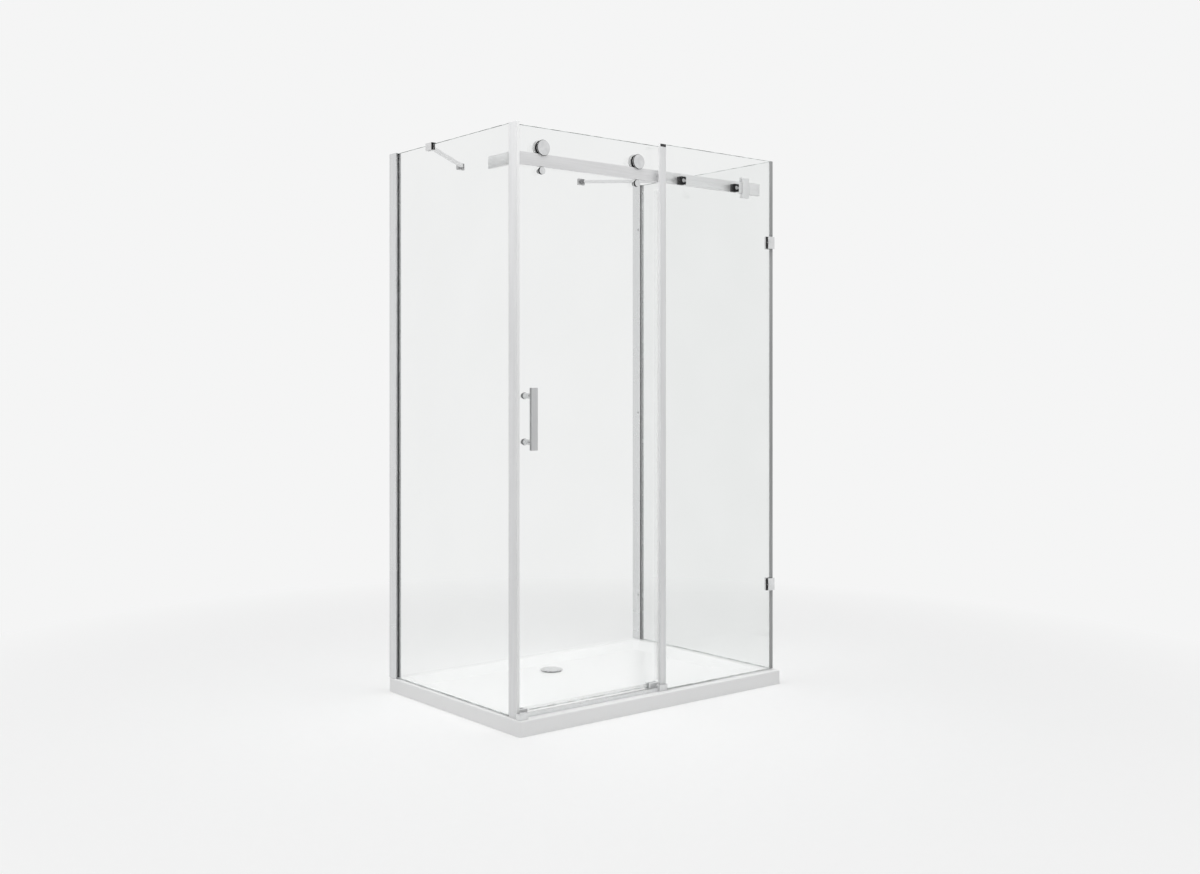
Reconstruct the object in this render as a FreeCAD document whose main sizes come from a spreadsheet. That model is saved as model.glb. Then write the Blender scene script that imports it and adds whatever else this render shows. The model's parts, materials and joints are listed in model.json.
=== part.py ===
"""Three-sided frameless shower enclosure with a sliding door, on a low shower tray.

The tray's underside is z = 0 and its middle is the origin. The front with the door faces -Y,
and the open side at +Y is closed by the bathroom wall. All lengths are in millimetres.
Every size is a cell of the sheet Sizes, and every place worked out from them is a cell of
the sheet Places. Each piece is drawn about its own datum point and then placed by formula.
"""
import FreeCAD, Part
import os
import re
import Sketcher

Vector = FreeCAD.Vector

SIZES = {
    # shower tray and its waste
    "tray_width": 1200,
    "tray_depth": 800,
    "tray_height": 50,
    "tray_corner_radius": 10,
    "tray_edge_radius": 5,
    "ledge_front": 105,
    "ledge_side": 45,
    "ledge_back": 40,
    "basin_depth": 26,
    "basin_slope": 60,
    "basin_corner_radius": 40,
    "waste_from_wall": 182,
    "waste_bore_radius": 20,
    "waste_wall": 6,
    "waste_flange_radius": 41,
    "waste_flange_thickness": 4,
    "waste_gasket_thickness": 1.5,
    "waste_seat_clearance": 0.5,
    "waste_hole_clearance": 1,
    "locknut_wall": 10,
    "locknut_height": 7,
    "locknut_recess_depth": 9,
    "locknut_room": 2,
    "cover_radius": 42.5,
    "cover_thickness": 3,
    "cover_chamfer": 1,
    "cover_lift": 3.5,
    "cover_foot_radius": 3,
    "cover_foot_circle": 34,
    "rest_gap": 0.3,
    # glass panels
    "glass_thickness": 8,
    "glass_height": 1887,
    "glass_inset_side": 11.5,
    "glass_inset_front": 30.8,
    "glass_wall_gap": 13.5,
    "base_seal_height": 3,
    "corner_gap": 2,
    "door_width": 623,
    "door_edge_gap": 14,
    "door_floor_gap": 10,
    "panel_overlap": 32,
    # wall profiles
    "profile_width": 26,
    "profile_depth": 44,
    "profile_wall": 2,
    "profile_hole_radius": 2.6,
    "profile_hole_inset": 95,
    "profile_slide_gap": 0.5,
    "inner_profile_wall": 1.5,
    "inner_profile_depth": 28,
    "gasket_depth": 24,
    "end_cap_thickness": 2,
    "side_screw_radius": 2,
    "side_screw_head_radius": 3.5,
    "side_screw_head_height": 1.6,
    "side_screw_from_front": 10,
    "side_screw_inset": 185,
    # rail and what holds it
    "rail_below_glass_top": 130,
    "rail_height": 40,
    "rail_thickness": 10,
    "rail_standoff": 12.5,
    "rail_right_gap": 48.5,
    "bracket_leg_length": 144,
    "bracket_leg_thickness": 10,
    "bracket_pad_thickness": 1.2,
    "bracket_screw_radius": 3,
    "bracket_screw_head_radius": 5.5,
    "bracket_screw_length": 26,
    "bracket_screw_spacing": 20,
    "sleeve_length": 51,
    "sleeve_wall": 2,
    "sleeve_end": 4,
    "stopper_from_rail_end": 70,
    "stopper_width": 34,
    "stopper_height": 72,
    "stopper_front_wall": 4,
    "stopper_back_wall": 2.5,
    "bumper_thickness": 4,
    "bumper_height": 15,
    "bumper_above_rail": 3,
    "connector_width": 23,
    "connector_height": 27,
    "connector_plate": 3.5,
    "connector_drop": 7,
    "connector_inset_left": 106,
    "connector_inset_right": 183.5,
    "connector_bolt_radius": 4,
    "connector_bolt_head_radius": 7,
    "connector_bolt_depth": 8,
    "gasket_thickness": 1,
    # running gear of the door
    "door_standoff": 8.6,
    "wheel_radius": 20,
    "wheel_flange_radius": 25,
    "wheel_flange_thickness": 2,
    "wheel_side_gap": 0.5,
    "bearing_radius": 11,
    "axle_radius": 5,
    "bearing_fit": 0.05,
    "roller_cap_radius": 26,
    "roller_cap_thickness": 3,
    "roller_cap_chamfer": 0.8,
    "roller_washer_radius": 27,
    "roller_washer_spigot": 8.5,
    "roller_nut_radius": 16,
    "roller_nut_height": 9,
    "roller_inset_lead": 96,
    "roller_inset_trail": 117,
    "lift_stop_radius": 12,
    "lift_stop_neck_radius": 8,
    "lift_stop_gap": 0.5,
    "lift_stop_screw_radius": 4,
    "lift_stop_head_radius": 7,
    "lift_stop_head_height": 2.5,
    "glass_hole_room": 1,
    # handle
    "handle_inset": 36,
    "handle_height": 947,
    "handle_length": 200,
    "handle_width": 25,
    "handle_thickness": 12,
    "handle_edge_radius": 1.5,
    "handle_spacing": 148,
    "handle_reach": 43.6,
    "post_radius": 7,
    "collar_radius": 11,
    "collar_height": 4,
    "handle_screw_radius": 3,
    "handle_screw_depth": 15,
    "handle_head_radius": 9,
    "handle_head_height": 5,
    # seals
    "seal_wall": 1.2,
    "corner_seal_leg": 43,
    "corner_seal_inner_leg": 18,
    "right_seal_leg": 16,
    "edge_seal_leg": 25,
    "door_seal_leg": 12.5,
    "magnet_width": 14,
    "magnet_thickness": 6,
    "magnet_gap": 0.6,
    "lip_seal_gap": 2.2,
    "lip_setback": 3.5,
    "lip_clearance": 4,
    "seal_end_gap": 5,
    "sweep_leg": 12,
    "sweep_blade": 3.3,
    # guides and threshold on the tray
    "guide_width": 40,
    "guide_floor": 4,
    "guide_cheek": 10.3,
    "guide_side_gap": 0.5,
    "corner_guide_height": 20,
    "middle_guide_height": 24,
    "middle_guide_inset": 13,
    "guide_screw_radius": 2,
    "guide_screw_head_radius": 4,
    "guide_screw_length": 16,
    "threshold_height": 12,
    "threshold_depth": 22,
    "threshold_chamfer": 4,
    "foot_length": 35,
    "foot_height": 22,
    "foot_front_wall": 5,
    "foot_back_wall": 4,
    "foot_end": 7,
    "corner_foot_width": 34,
    "corner_foot_depth": 20,
    "corner_foot_height": 20,
    "corner_foot_overhang": 5,
    # clamps at the front right corner
    "clamp_height": 45,
    "clamp_leg": 31,
    "clamp_thickness": 5,
    "clamp_inner_thickness": 5,
    "clamp_above_tray": 317,
    "clamp_below_glass_top": 304,
    "clamp_screw_radius": 3,
    "clamp_screw_inset": 12.5,
    "clamp_screw_back": 22,
    "clamp_screw_bite": 3.5,
    "clamp_head_radius": 5.5,
    "clamp_head_height": 3,
    # braces from the side glass to the wall
    "brace_from_wall": 256.7,
    "brace_clamp_length": 38,
    "brace_clamp_wall": 6,
    "brace_clamp_below": 20,
    "brace_clamp_above": 6,
    "brace_bar": 12,
    "brace_bar_drop": 10,
    "brace_plate_x": 289,
    "brace_plate_width": 32,
    "brace_plate_height": 25,
    "brace_plate_depth": 8,
    "brace_knuckle_radius": 8,
    "brace_knuckle_height": 16,
    "brace_hole_radius": 2.2,
    "brace_hole_spacing": 23,
    "screw_fit": 0.1,
}

PLACES = {
    "rim_z": "tray_height",
    "wall_y": "tray_depth / 2",
    "basin_z": "rim_z - basin_depth",
    "waste_y": "wall_y - waste_from_wall",
    "waste_seat_z": "basin_z - waste_seat_clearance - waste_flange_thickness - waste_gasket_thickness",
    "waste_flange_z": "waste_seat_z + waste_gasket_thickness",
    "waste_top_z": "waste_flange_z + waste_flange_thickness",
    "waste_tube_radius": "waste_bore_radius + waste_wall",
    "locknut_radius": "waste_tube_radius + locknut_wall",
    "left_out_x": "glass_inset_side - tray_width / 2",
    "left_in_x": "left_out_x + glass_thickness",
    "right_in_x": "-left_in_x",
    "front_out_y": "glass_inset_front - tray_depth / 2",
    "front_in_y": "front_out_y + glass_thickness",
    "glass_low_z": "rim_z + base_seal_height",
    "glass_top_z": "glass_low_z + glass_height",
    "glass_back_y": "wall_y - glass_wall_gap",
    "profile_x": "left_out_x + glass_thickness / 2",
    "profile_length": "glass_top_z - rim_z",
    "profile_hole_pitch": "profile_length / 2 - profile_hole_inset",
    "side_screw_pitch": "profile_length / 2 - side_screw_inset",
    "rail_front_y": "front_in_y + rail_standoff",
    "rail_back_y": "rail_front_y + rail_thickness",
    "rail_mid_y": "rail_front_y + rail_thickness / 2",
    "rail_low_z": "glass_top_z - rail_below_glass_top",
    "rail_top_z": "rail_low_z + rail_height",
    "rail_mid_z": "rail_low_z + rail_height / 2",
    "rail_left_x": "left_in_x + bracket_pad_thickness + bracket_leg_thickness",
    "rail_right_x": "right_in_x - rail_right_gap",
    "rail_length": "rail_right_x - rail_left_x",
    "door_out_y": "rail_back_y + door_standoff",
    "door_in_y": "door_out_y + glass_thickness",
    "door_left_x": "left_in_x + door_edge_gap",
    "door_right_x": "door_left_x + door_width",
    "door_low_z": "rim_z + door_floor_gap",
    "door_height": "glass_top_z - door_low_z",
    "fixed_left_x": "door_right_x - panel_overlap",
    "fixed_right_x": "right_in_x - corner_gap",
    "roller_left_x": "door_left_x + roller_inset_lead",
    "roller_right_x": "door_right_x - roller_inset_trail",
    "roller_z": "rail_top_z + rest_gap + wheel_radius",
    "lift_stop_z": "rail_low_z - lift_stop_gap - lift_stop_radius",
    "lip_top_z": "lift_stop_z - lift_stop_radius - lip_clearance",
    "seal_top_z": "rail_low_z - seal_end_gap",
    "roller_hole_radius": "roller_washer_spigot + screw_fit",
    "lift_hole_radius": "lift_stop_screw_radius + glass_hole_room",
    "handle_hole_radius": "handle_screw_radius + glass_hole_room",
    "connector_hole_radius": "connector_bolt_radius + glass_hole_room",
    "clamp_hole_radius": "clamp_screw_radius + glass_hole_room",
    "handle_x": "door_left_x + handle_inset",
    "handle_z": "rim_z + handle_height",
    "connector_left_x": "fixed_left_x + connector_inset_left",
    "connector_right_x": "fixed_right_x - connector_inset_right",
    "connector_z": "rail_mid_z - connector_drop",
    "stopper_x": "rail_right_x - stopper_from_rail_end",
    "guide_slot": "glass_thickness + 2 * seal_wall + 2 * guide_side_gap",
    "guide_depth": "guide_slot + 2 * guide_cheek",
    "guide_front_y": "door_out_y + glass_thickness / 2 - guide_depth / 2",
    "middle_guide_x": "door_right_x - middle_guide_inset - guide_width",
    "foot_x": "fixed_left_x - seal_wall - foot_end",
    "guide_top_z": "rim_z + middle_guide_height",
    "sweep_top_z": "door_low_z + sweep_leg",
    "clamp_low_z": "rim_z + clamp_above_tray",
    "clamp_high_z": "glass_top_z - clamp_below_glass_top",
    "clamp_screw_x": "fixed_right_x - clamp_screw_inset",
    "clamp_screw_y": "front_out_y + clamp_screw_back",
    "brace_y": "wall_y - brace_from_wall",
    "brace_z": "glass_top_z - brace_bar_drop",
    "brace_knuckle_y": "wall_y - brace_plate_depth - brace_knuckle_radius",
    "brace_clamp_x": "left_in_x + brace_clamp_wall",
}

TURNS = {
    "+x": FreeCAD.Rotation(Vector(0, 1, 0), 90),
    "-x": FreeCAD.Rotation(Vector(0, 1, 0), -90),
    "+y": FreeCAD.Rotation(Vector(1, 0, 0), -90),
    "-y": FreeCAD.Rotation(Vector(1, 0, 0), 90),
    "+z": FreeCAD.Rotation(),
}

document = FreeCAD.newDocument("shower_enclosure")
kept = []


# ---------------------------------------------------------------- sheets and formulas

def formula(text, bare=()):
    """The text with each size and place written as a cell of its own sheet."""
    def cell(match):
        word = match.group(0)
        if word in bare:
            return word
        if word in SIZES:
            return "Sizes." + word
        return "Places." + word if word in PLACES else word
    return re.sub(r"[a-z_]+", cell, str(text))


def make_sheet(name, cells, write):
    sheet = document.addObject("Spreadsheet::Sheet", name)
    for row, (alias, value) in enumerate(cells.items(), 1):
        sheet.set(f"A{row}", alias)
        sheet.set(f"B{row}", write(value))
        sheet.setAlias(f"B{row}", alias)
    document.recompute()
    return sheet


make_sheet("Sizes", SIZES, str)
places_sheet = make_sheet("Places", PLACES, lambda text: "=" + formula(text, bare=PLACES))


def value_of(text):
    """The number that a formula has now."""
    return float(places_sheet.evalExpression(formula(text)))


def bind(piece, prop, text):
    piece.setExpression(prop, formula(text))


def place(piece, x, y, z, turn="+z"):
    """Turn a piece's own +Z along an axis and put its datum point at three formulas."""
    piece.Placement = FreeCAD.Placement(Vector(), TURNS[turn])
    for axis, text in zip("xyz", (x, y, z)):
        bind(piece, f"Placement.Base.{axis}", text)
    return piece


# ---------------------------------------------------------------- building blocks

def block(name, x, y, z):
    """A box between two formulas along each axis."""
    piece = document.addObject("Part::Box", name)
    for prop, (low, high) in zip(("Length", "Width", "Height"), (x, y, z)):
        bind(piece, prop, f"({high}) - ({low})")
    return place(piece, x[0], y[0], z[0])


def rod(name, radius, length, x, y, z, turn="+z"):
    """A cylinder from its datum point along an axis."""
    piece = document.addObject("Part::Cylinder", name)
    bind(piece, "Radius", radius)
    bind(piece, "Height", length)
    return place(piece, x, y, z, turn)


def cut(name, base, *tools):
    piece = document.addObject("Part::Cut", name)
    piece.Base = base
    piece.Tool = tools[0] if len(tools) == 1 else group(name + "_tools", *tools)
    return piece


def fuse(name, *parts):
    piece = document.addObject("Part::MultiFuse", name)
    piece.Shapes = list(parts)
    return piece


def group(name, *parts):
    """Separate solids that share one node."""
    piece = document.addObject("Part::Compound", name)
    piece.Links = list(parts)
    return piece


def mirrored(name, source):
    """The same piece on the other side of the plane x = 0."""
    piece = document.addObject("Part::Mirroring", name)
    piece.Source = source
    piece.Normal = Vector(1, 0, 0)
    return piece


def new_body(name):
    return document.addObject("PartDesign::Body", name)


def sketch_in(body, plane, outline=(), circles=(), offset="0"):
    """A sketch on one of the body's own planes, each point fixed by formulas."""
    base = next(part for part in body.Origin.OriginFeatures if part.Role == plane)
    sketch = body.newObject("Sketcher::SketchObject", f"{body.Name}_sketch")
    sketch.AttachmentSupport = [(base, "")]
    sketch.MapMode = "FlatFace"
    bind(sketch, "AttachmentOffset.Base.z", offset)
    corners = [Vector(value_of(u), value_of(v), 0) for u, v in outline]
    for start, end in zip(corners, corners[1:] + corners[:1]):
        sketch.addGeometry(Part.LineSegment(start, end))
    count = len(corners)
    for line in range(count):
        sketch.addConstraint(Sketcher.Constraint("Coincident", line, 2, (line + 1) % count, 1))
        fix_point(sketch, line, 1, *outline[line])
    for u, v, radius in circles:
        centre = Vector(value_of(u), value_of(v), 0)
        line = sketch.addGeometry(Part.Circle(centre, Vector(0, 0, 1), value_of(radius)))
        fix_point(sketch, line, 3, u, v)
        last = sketch.addConstraint(Sketcher.Constraint("Radius", line, value_of(radius)))
        bind(sketch, f"Constraints[{last}]", radius)
    return sketch


def fix_point(sketch, line, point, u, v):
    for kind, text in (("DistanceX", u), ("DistanceY", v)):
        rule = Sketcher.Constraint(kind, -1, 1, line, point, value_of(text))
        last = sketch.addConstraint(rule)
        bind(sketch, f"Constraints[{last}]", text)


def pad(body, sketch, length, backwards=False):
    feature = body.newObject("PartDesign::Pad", f"{body.Name}_pad")
    feature.Profile = sketch
    feature.Reversed = backwards
    bind(feature, "Length", length)
    sketch.Visibility = False
    return feature


def pocket(body, sketch, length, backwards=False):
    """Cut the sketch into the body, and make sure that it took material away."""
    document.recompute()
    before = body.Shape.Volume
    feature = body.newObject("PartDesign::Pocket", f"{body.Name}_pocket")
    feature.Profile = sketch
    feature.Reversed = backwards
    bind(feature, "Length", length)
    document.recompute()
    if not body.Shape.Volume < before:
        raise ValueError(f"{feature.Name} cuts nothing")
    return feature


def round_edges(body, radius, chosen, kind="Fillet"):
    """Round or chamfer the edges of the body's newest feature that a test picks."""
    document.recompute()
    tip = body.Tip
    names = [f"Edge{i}" for i, edge in enumerate(tip.Shape.Edges, 1) if chosen(edge)]
    feature = body.newObject(f"PartDesign::{kind}", f"{body.Name}_{kind.lower()}")
    feature.Base = (tip, names)
    bind(feature, "Radius" if kind == "Fillet" else "Size", radius)
    document.recompute()
    return feature


def prism(name, plane, outline, length, circles=(), backwards=False):
    """A sketched section with its holes, padded to a length."""
    body = new_body(name)
    pad(body, sketch_in(body, plane, outline, circles), length, backwards)
    return body


def turned(name, outline, x, y, z, turn="+z"):
    """A turned piece: an outline of (radius, height) pairs spun about its own axis."""
    body = new_body(name)
    sketch = sketch_in(body, "XZ_Plane", outline)
    feature = body.newObject("PartDesign::Revolution", f"{name}_turn")
    feature.Profile = sketch
    feature.ReferenceAxis = (sketch, ["V_Axis"])
    feature.Angle = 360
    return place(body, x, y, z, turn)


def ring_outline(inner, outer, low, high):
    return [(inner, low), (outer, low), (outer, high), (inner, high)]


def keep(node, piece):
    """Give a finished piece the name of its node."""
    piece.Label = node
    kept.append(piece)
    return piece


def upright(edge):
    """Whether an edge runs along the body's own Z."""
    ends = [vertex.Point for vertex in edge.Vertexes]
    return len(ends) == 2 and (ends[1] - ends[0]).cross(Vector(0, 0, 1)).Length < 1e-6


def at_height(level):
    """A test for edges that lie in one level plane."""
    return lambda edge: all(abs(vertex.Z - level) < 1e-6 for vertex in edge.Vertexes)


# ---------------------------------------------------------------- tray and waste

def rectangle(left, right, front, back):
    return [(left, front), (right, front), (right, back), (left, back)]


GUIDE_SCREWS = (
    ("door_left_x - seal_wall + guide_width / 2", "door_out_y + glass_thickness / 2"),
    ("middle_guide_x + guide_width / 2", "door_out_y + glass_thickness / 2"),
)


def shower_tray():
    half_width, half_depth = "tray_width / 2", "tray_depth / 2"
    body = new_body("shower_tray")
    outer = rectangle(f"-{half_width}", half_width, f"-{half_depth}", half_depth)
    pad(body, sketch_in(body, "XY_Plane", outer), "tray_height")
    round_edges(body, "tray_corner_radius", upright)
    round_edges(body, "tray_edge_radius", at_height(value_of("tray_height")))
    basin = rectangle(f"ledge_side - {half_width}", f"{half_width} - ledge_side",
                      f"ledge_front - {half_depth}", f"{half_depth} - ledge_back")
    hollow = pocket(body, sketch_in(body, "XY_Plane", basin, offset="tray_height"), "basin_depth")
    bind(hollow, "TaperAngle", "-basin_slope")
    low, high = value_of("basin_z"), value_of("tray_height")

    def slanted_corner(edge):
        heights = sorted(vertex.Z for vertex in edge.Vertexes)
        return len(heights) == 2 and abs(heights[0] - low) < 1e-6 and abs(heights[1] - high) < 1e-6
    round_edges(body, "basin_corner_radius", slanted_corner)
    middle = ("0", "waste_y")
    seat = [(*middle, "waste_flange_radius + waste_seat_clearance")]
    pocket(body, sketch_in(body, "XY_Plane", circles=seat, offset="basin_z"), "basin_z - waste_seat_z")
    hole = [(*middle, "waste_tube_radius + waste_hole_clearance")]
    pocket(body, sketch_in(body, "XY_Plane", circles=hole), "tray_height", backwards=True)
    recess = [(*middle, "locknut_radius + locknut_room")]
    pocket(body, sketch_in(body, "XY_Plane", circles=recess), "locknut_recess_depth", backwards=True)
    holes = [(x, y, "guide_screw_radius + screw_fit") for x, y in GUIDE_SCREWS]
    pocket(body, sketch_in(body, "XY_Plane", circles=holes, offset="tray_height"), "guide_screw_length")
    keep("shower_tray", body)


def waste():
    place_at = ("0", "waste_y")
    keep("waste_gasket", turned("waste_gasket", ring_outline(
        "waste_tube_radius + screw_fit", "waste_flange_radius", "0", "waste_gasket_thickness"),
        *place_at, "waste_seat_z"))
    body_outline = [("waste_bore_radius", "0"), ("waste_tube_radius", "0"),
                    ("waste_tube_radius", "waste_flange_z"), ("waste_flange_radius", "waste_flange_z"),
                    ("waste_flange_radius", "waste_top_z"), ("waste_bore_radius", "waste_top_z")]
    keep("waste_body", turned("waste_body", body_outline, *place_at, "0"))
    nut_outline = ring_outline("waste_tube_radius", "locknut_radius", "0", "locknut_height")
    keep("waste_locknut", turned("waste_locknut", nut_outline, *place_at,
                                 "locknut_recess_depth - locknut_height"))


def drain_cover():
    """A lift-off cover on three short feet that stand on the waste's flange."""
    rim = "cover_radius - cover_chamfer"
    disc = turned("cover_disc", [
        ("0", "0"), ("cover_radius", "0"), ("cover_radius", "cover_thickness - cover_chamfer"),
        (rim, "cover_thickness"), ("0", "cover_thickness")], "0", "waste_y", "basin_z + cover_lift")
    parts = [disc]
    for number, angle in enumerate((90, 210, 330), 1):
        parts.append(rod(f"cover_foot_{number}", "cover_foot_radius",
                         "basin_z + cover_lift - waste_top_z - rest_gap",
                         f"cover_foot_circle * cos({angle} deg)",
                         f"waste_y + cover_foot_circle * sin({angle} deg)", "waste_top_z + rest_gap"))
    keep("drain_cover", fuse("drain_cover", *parts))


# ---------------------------------------------------------------- glass

CLAMP_LEVELS = ("clamp_low_z", "clamp_high_z")


def side_glass():
    """The two return panels, each a sheet in a plane of constant X."""
    length = "glass_back_y - front_out_y"
    outline = rectangle("0", length, "0", "glass_height")
    left = place(prism("left_return_glass", "YZ_Plane", outline, "glass_thickness"),
                 "left_out_x", "front_out_y", "glass_low_z")
    keep("left_return_glass", left)
    holes = [("clamp_screw_back", f"{level} - glass_low_z", "clamp_hole_radius")
             for level in CLAMP_LEVELS]
    right = place(prism("right_return_glass", "YZ_Plane", outline, "glass_thickness", holes),
                  "right_in_x", "front_out_y", "glass_low_z")
    keep("right_return_glass", right)


def fixed_front_glass():
    width = "fixed_right_x - fixed_left_x"
    outline = rectangle("0", width, "0", "glass_height")
    holes = [(f"{x} - fixed_left_x", "connector_z - glass_low_z", "connector_hole_radius")
             for x in ("connector_left_x", "connector_right_x")]
    holes += [(f"{width} - clamp_screw_inset", f"{level} - glass_low_z", "clamp_hole_radius")
              for level in CLAMP_LEVELS]
    panel = prism("fixed_front_glass", "XZ_Plane", outline, "glass_thickness", holes, backwards=True)
    keep("fixed_front_glass", place(panel, "fixed_left_x", "front_out_y", "glass_low_z"))


def door_glass():
    outline = rectangle("0", "door_width", "0", "door_height")
    holes = []
    for x in ("roller_left_x", "roller_right_x"):
        holes.append((f"{x} - door_left_x", "roller_z - door_low_z", "roller_hole_radius"))
        holes.append((f"{x} - door_left_x", "lift_stop_z - door_low_z", "lift_hole_radius"))
    holes += [("handle_inset", f"handle_z {side} handle_spacing / 2 - door_low_z", "handle_hole_radius")
              for side in "-+"]
    panel = prism("door_glass", "XZ_Plane", outline, "glass_thickness", holes, backwards=True)
    keep("door_glass", place(panel, "door_left_x", "door_out_y", "door_low_z"))


def glass_base_seals():
    """The strips that the three fixed panels stand on."""
    height = ("rim_z", "glass_low_z")
    left = block("left_base_seal", ("left_out_x", "left_in_x"), ("front_out_y", "glass_back_y"), height)
    front = block("front_base_seal", ("foot_x + foot_length", "fixed_right_x"),
                  ("front_out_y", "front_in_y"), height)
    keep("glass_base_seals", group("glass_base_seals", left, mirrored("right_base_seal", left), front))


# ---------------------------------------------------------------- wall profiles

SCREW_LEVELS = ("-1", "0", "1")


def channel(width, depth, wall):
    """The section of a channel whose open side faces -Y, from its back at y = 0."""
    half, inner = f"({width}) / 2", f"(({width}) / 2 - {wall})"
    return [(f"-{half}", "0"), (f"-{half}", f"-({depth})"), (f"-{inner}", f"-({depth})"),
            (f"-{inner}", f"-{wall}"), (inner, f"-{wall}"), (inner, f"-({depth})"),
            (half, f"-({depth})"), (half, "0")]


def wall_profiles():
    body = prism("wall_profile_left", "XY_Plane",
                 channel("profile_width", "profile_depth", "profile_wall"), "profile_length")
    screws = [("0", f"profile_length / 2 + {step} * profile_hole_pitch", "profile_hole_radius")
              for step in SCREW_LEVELS]
    pocket(body, sketch_in(body, "XZ_Plane", circles=screws), "profile_wall", backwards=True)
    side = [("side_screw_from_front - profile_depth", f"profile_length / 2 + {step} * side_screw_pitch",
             "side_screw_radius + screw_fit") for step in SCREW_LEVELS]
    pocket(body, sketch_in(body, "YZ_Plane", circles=side), "profile_width", backwards=True)
    left = place(body, "profile_x", "wall_y", "rim_z")
    keep("wall_profile_left", left)
    keep("wall_profile_right", mirrored("wall_profile_right", left))


def inner_profiles():
    """The narrower channels that hold the glass and slide in the wall profiles."""
    width = "profile_width - 2 * profile_wall - 2 * profile_slide_gap"
    back = "glass_wall_gap - inner_profile_wall"
    body = prism("inner_profile", "XY_Plane",
                 channel(width, "inner_profile_depth", "inner_profile_wall"), "profile_length")
    side = [(f"side_screw_from_front - profile_depth + {back}",
             f"profile_length / 2 + {step} * side_screw_pitch", "side_screw_radius")
            for step in SCREW_LEVELS]
    pocket(body, sketch_in(body, "YZ_Plane", circles=side), "profile_width", backwards=True)
    left = place(body, "profile_x", f"wall_y - ({back})", "rim_z")
    keep("inner_profiles", group("inner_profiles", left, mirrored("inner_profile_right", left)))


def profile_gaskets():
    inside = "(profile_width / 2 - profile_wall - profile_slide_gap - inner_profile_wall)"
    front = "wall_y - glass_wall_gap - inner_profile_depth + inner_profile_wall"
    depth = (front, f"{front} + gasket_depth")
    height = ("glass_low_z", "glass_top_z")
    strips = [
        block("gasket_outer", (f"profile_x - {inside}", "left_out_x"), depth, height),
        block("gasket_inner", ("left_in_x", f"profile_x + {inside}"), depth, height),
    ]
    strips += [mirrored(f"{strip.Name}_right", strip) for strip in strips]
    keep("profile_gaskets", group("profile_gaskets", *strips))


def profile_end_caps():
    cap = block("end_cap", ("profile_x - profile_width / 2", "profile_x + profile_width / 2"),
                ("wall_y - profile_depth", "wall_y"), ("glass_top_z", "glass_top_z + end_cap_thickness"))
    keep("profile_end_caps", group("profile_end_caps", cap, mirrored("end_cap_right", cap)))


def profile_screws():
    """Screws that lock the sliding profile, driven from inside the shower."""
    outline = [("0", "-side_screw_head_height"), ("side_screw_head_radius", "-side_screw_head_height"),
               ("side_screw_head_radius", "0"), ("side_screw_radius", "0"),
               ("side_screw_radius", "profile_wall + profile_slide_gap + inner_profile_wall"),
               ("0", "profile_wall + profile_slide_gap + inner_profile_wall")]
    screws = []
    for number, step in enumerate(SCREW_LEVELS, 1):
        screws.append(turned(f"profile_screw_{number}", outline, "profile_x + profile_width / 2",
                             "wall_y - profile_depth + side_screw_from_front",
                             f"rim_z + profile_length / 2 + {step} * side_screw_pitch", "-x"))
    screws += [mirrored(f"{screw.Name}_right", screw) for screw in screws]
    keep("profile_screws", group("profile_screws", *screws))


# ---------------------------------------------------------------- rail

def rail_bar():
    section = rectangle("0", "rail_thickness", "0", "rail_height")
    body = prism("rail_bar", "YZ_Plane", section, "rail_length")
    bolts = [(f"{x} - rail_left_x", "rail_height / 2 - connector_drop", "connector_bolt_radius")
             for x in ("connector_left_x", "connector_right_x")]
    pocket(body, sketch_in(body, "XZ_Plane", circles=bolts), "connector_bolt_depth")
    ends = [("rail_thickness / 2", f"rail_height / 2 {side} bracket_screw_spacing / 2",
             "bracket_screw_radius") for side in "-+"]
    pocket(body, sketch_in(body, "YZ_Plane", circles=ends), "bracket_screw_length - bracket_leg_thickness",
           backwards=True)
    keep("rail_bar", place(body, "rail_left_x", "rail_front_y", "rail_low_z"))


def rail_bracket():
    """The leg that turns the rail back along the inside of the left panel."""
    body = prism("rail_bracket", "YZ_Plane", rectangle("0", "bracket_leg_length", "0", "rail_height"),
                 "bracket_leg_thickness")
    levels = [f"rail_height / 2 {side} bracket_screw_spacing / 2" for side in "-+"]
    holes = [("rail_thickness / 2", level, "bracket_screw_radius + screw_fit") for level in levels]
    pocket(body, sketch_in(body, "YZ_Plane", circles=holes), "bracket_leg_thickness", backwards=True)
    heads = [("rail_thickness / 2", level, "bracket_screw_head_radius + screw_fit") for level in levels]
    pocket(body, sketch_in(body, "YZ_Plane", circles=heads), "bracket_screw_radius", backwards=True)
    start = "left_in_x + bracket_pad_thickness"
    keep("rail_corner_bracket", place(body, start, "rail_front_y", "rail_low_z"))
    pad_depth = ("rail_front_y + rail_thickness", "rail_front_y + bracket_leg_length")
    keep("bracket_pad", block("bracket_pad", ("left_in_x", start), pad_depth, ("rail_low_z", "rail_top_z")))
    outline = [("0", "0"), ("bracket_screw_head_radius", "0"),
               ("bracket_screw_head_radius", "bracket_screw_radius"),
               ("bracket_screw_radius", "bracket_screw_radius"),
               ("bracket_screw_radius", "bracket_screw_length"), ("0", "bracket_screw_length")]
    screws = [turned(f"bracket_screw_{number}", outline, start, "rail_mid_y", f"rail_low_z + {level}", "+x")
              for number, level in enumerate(levels, 1)]
    keep("rail_bracket_screws", group("rail_bracket_screws", *screws))


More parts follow.
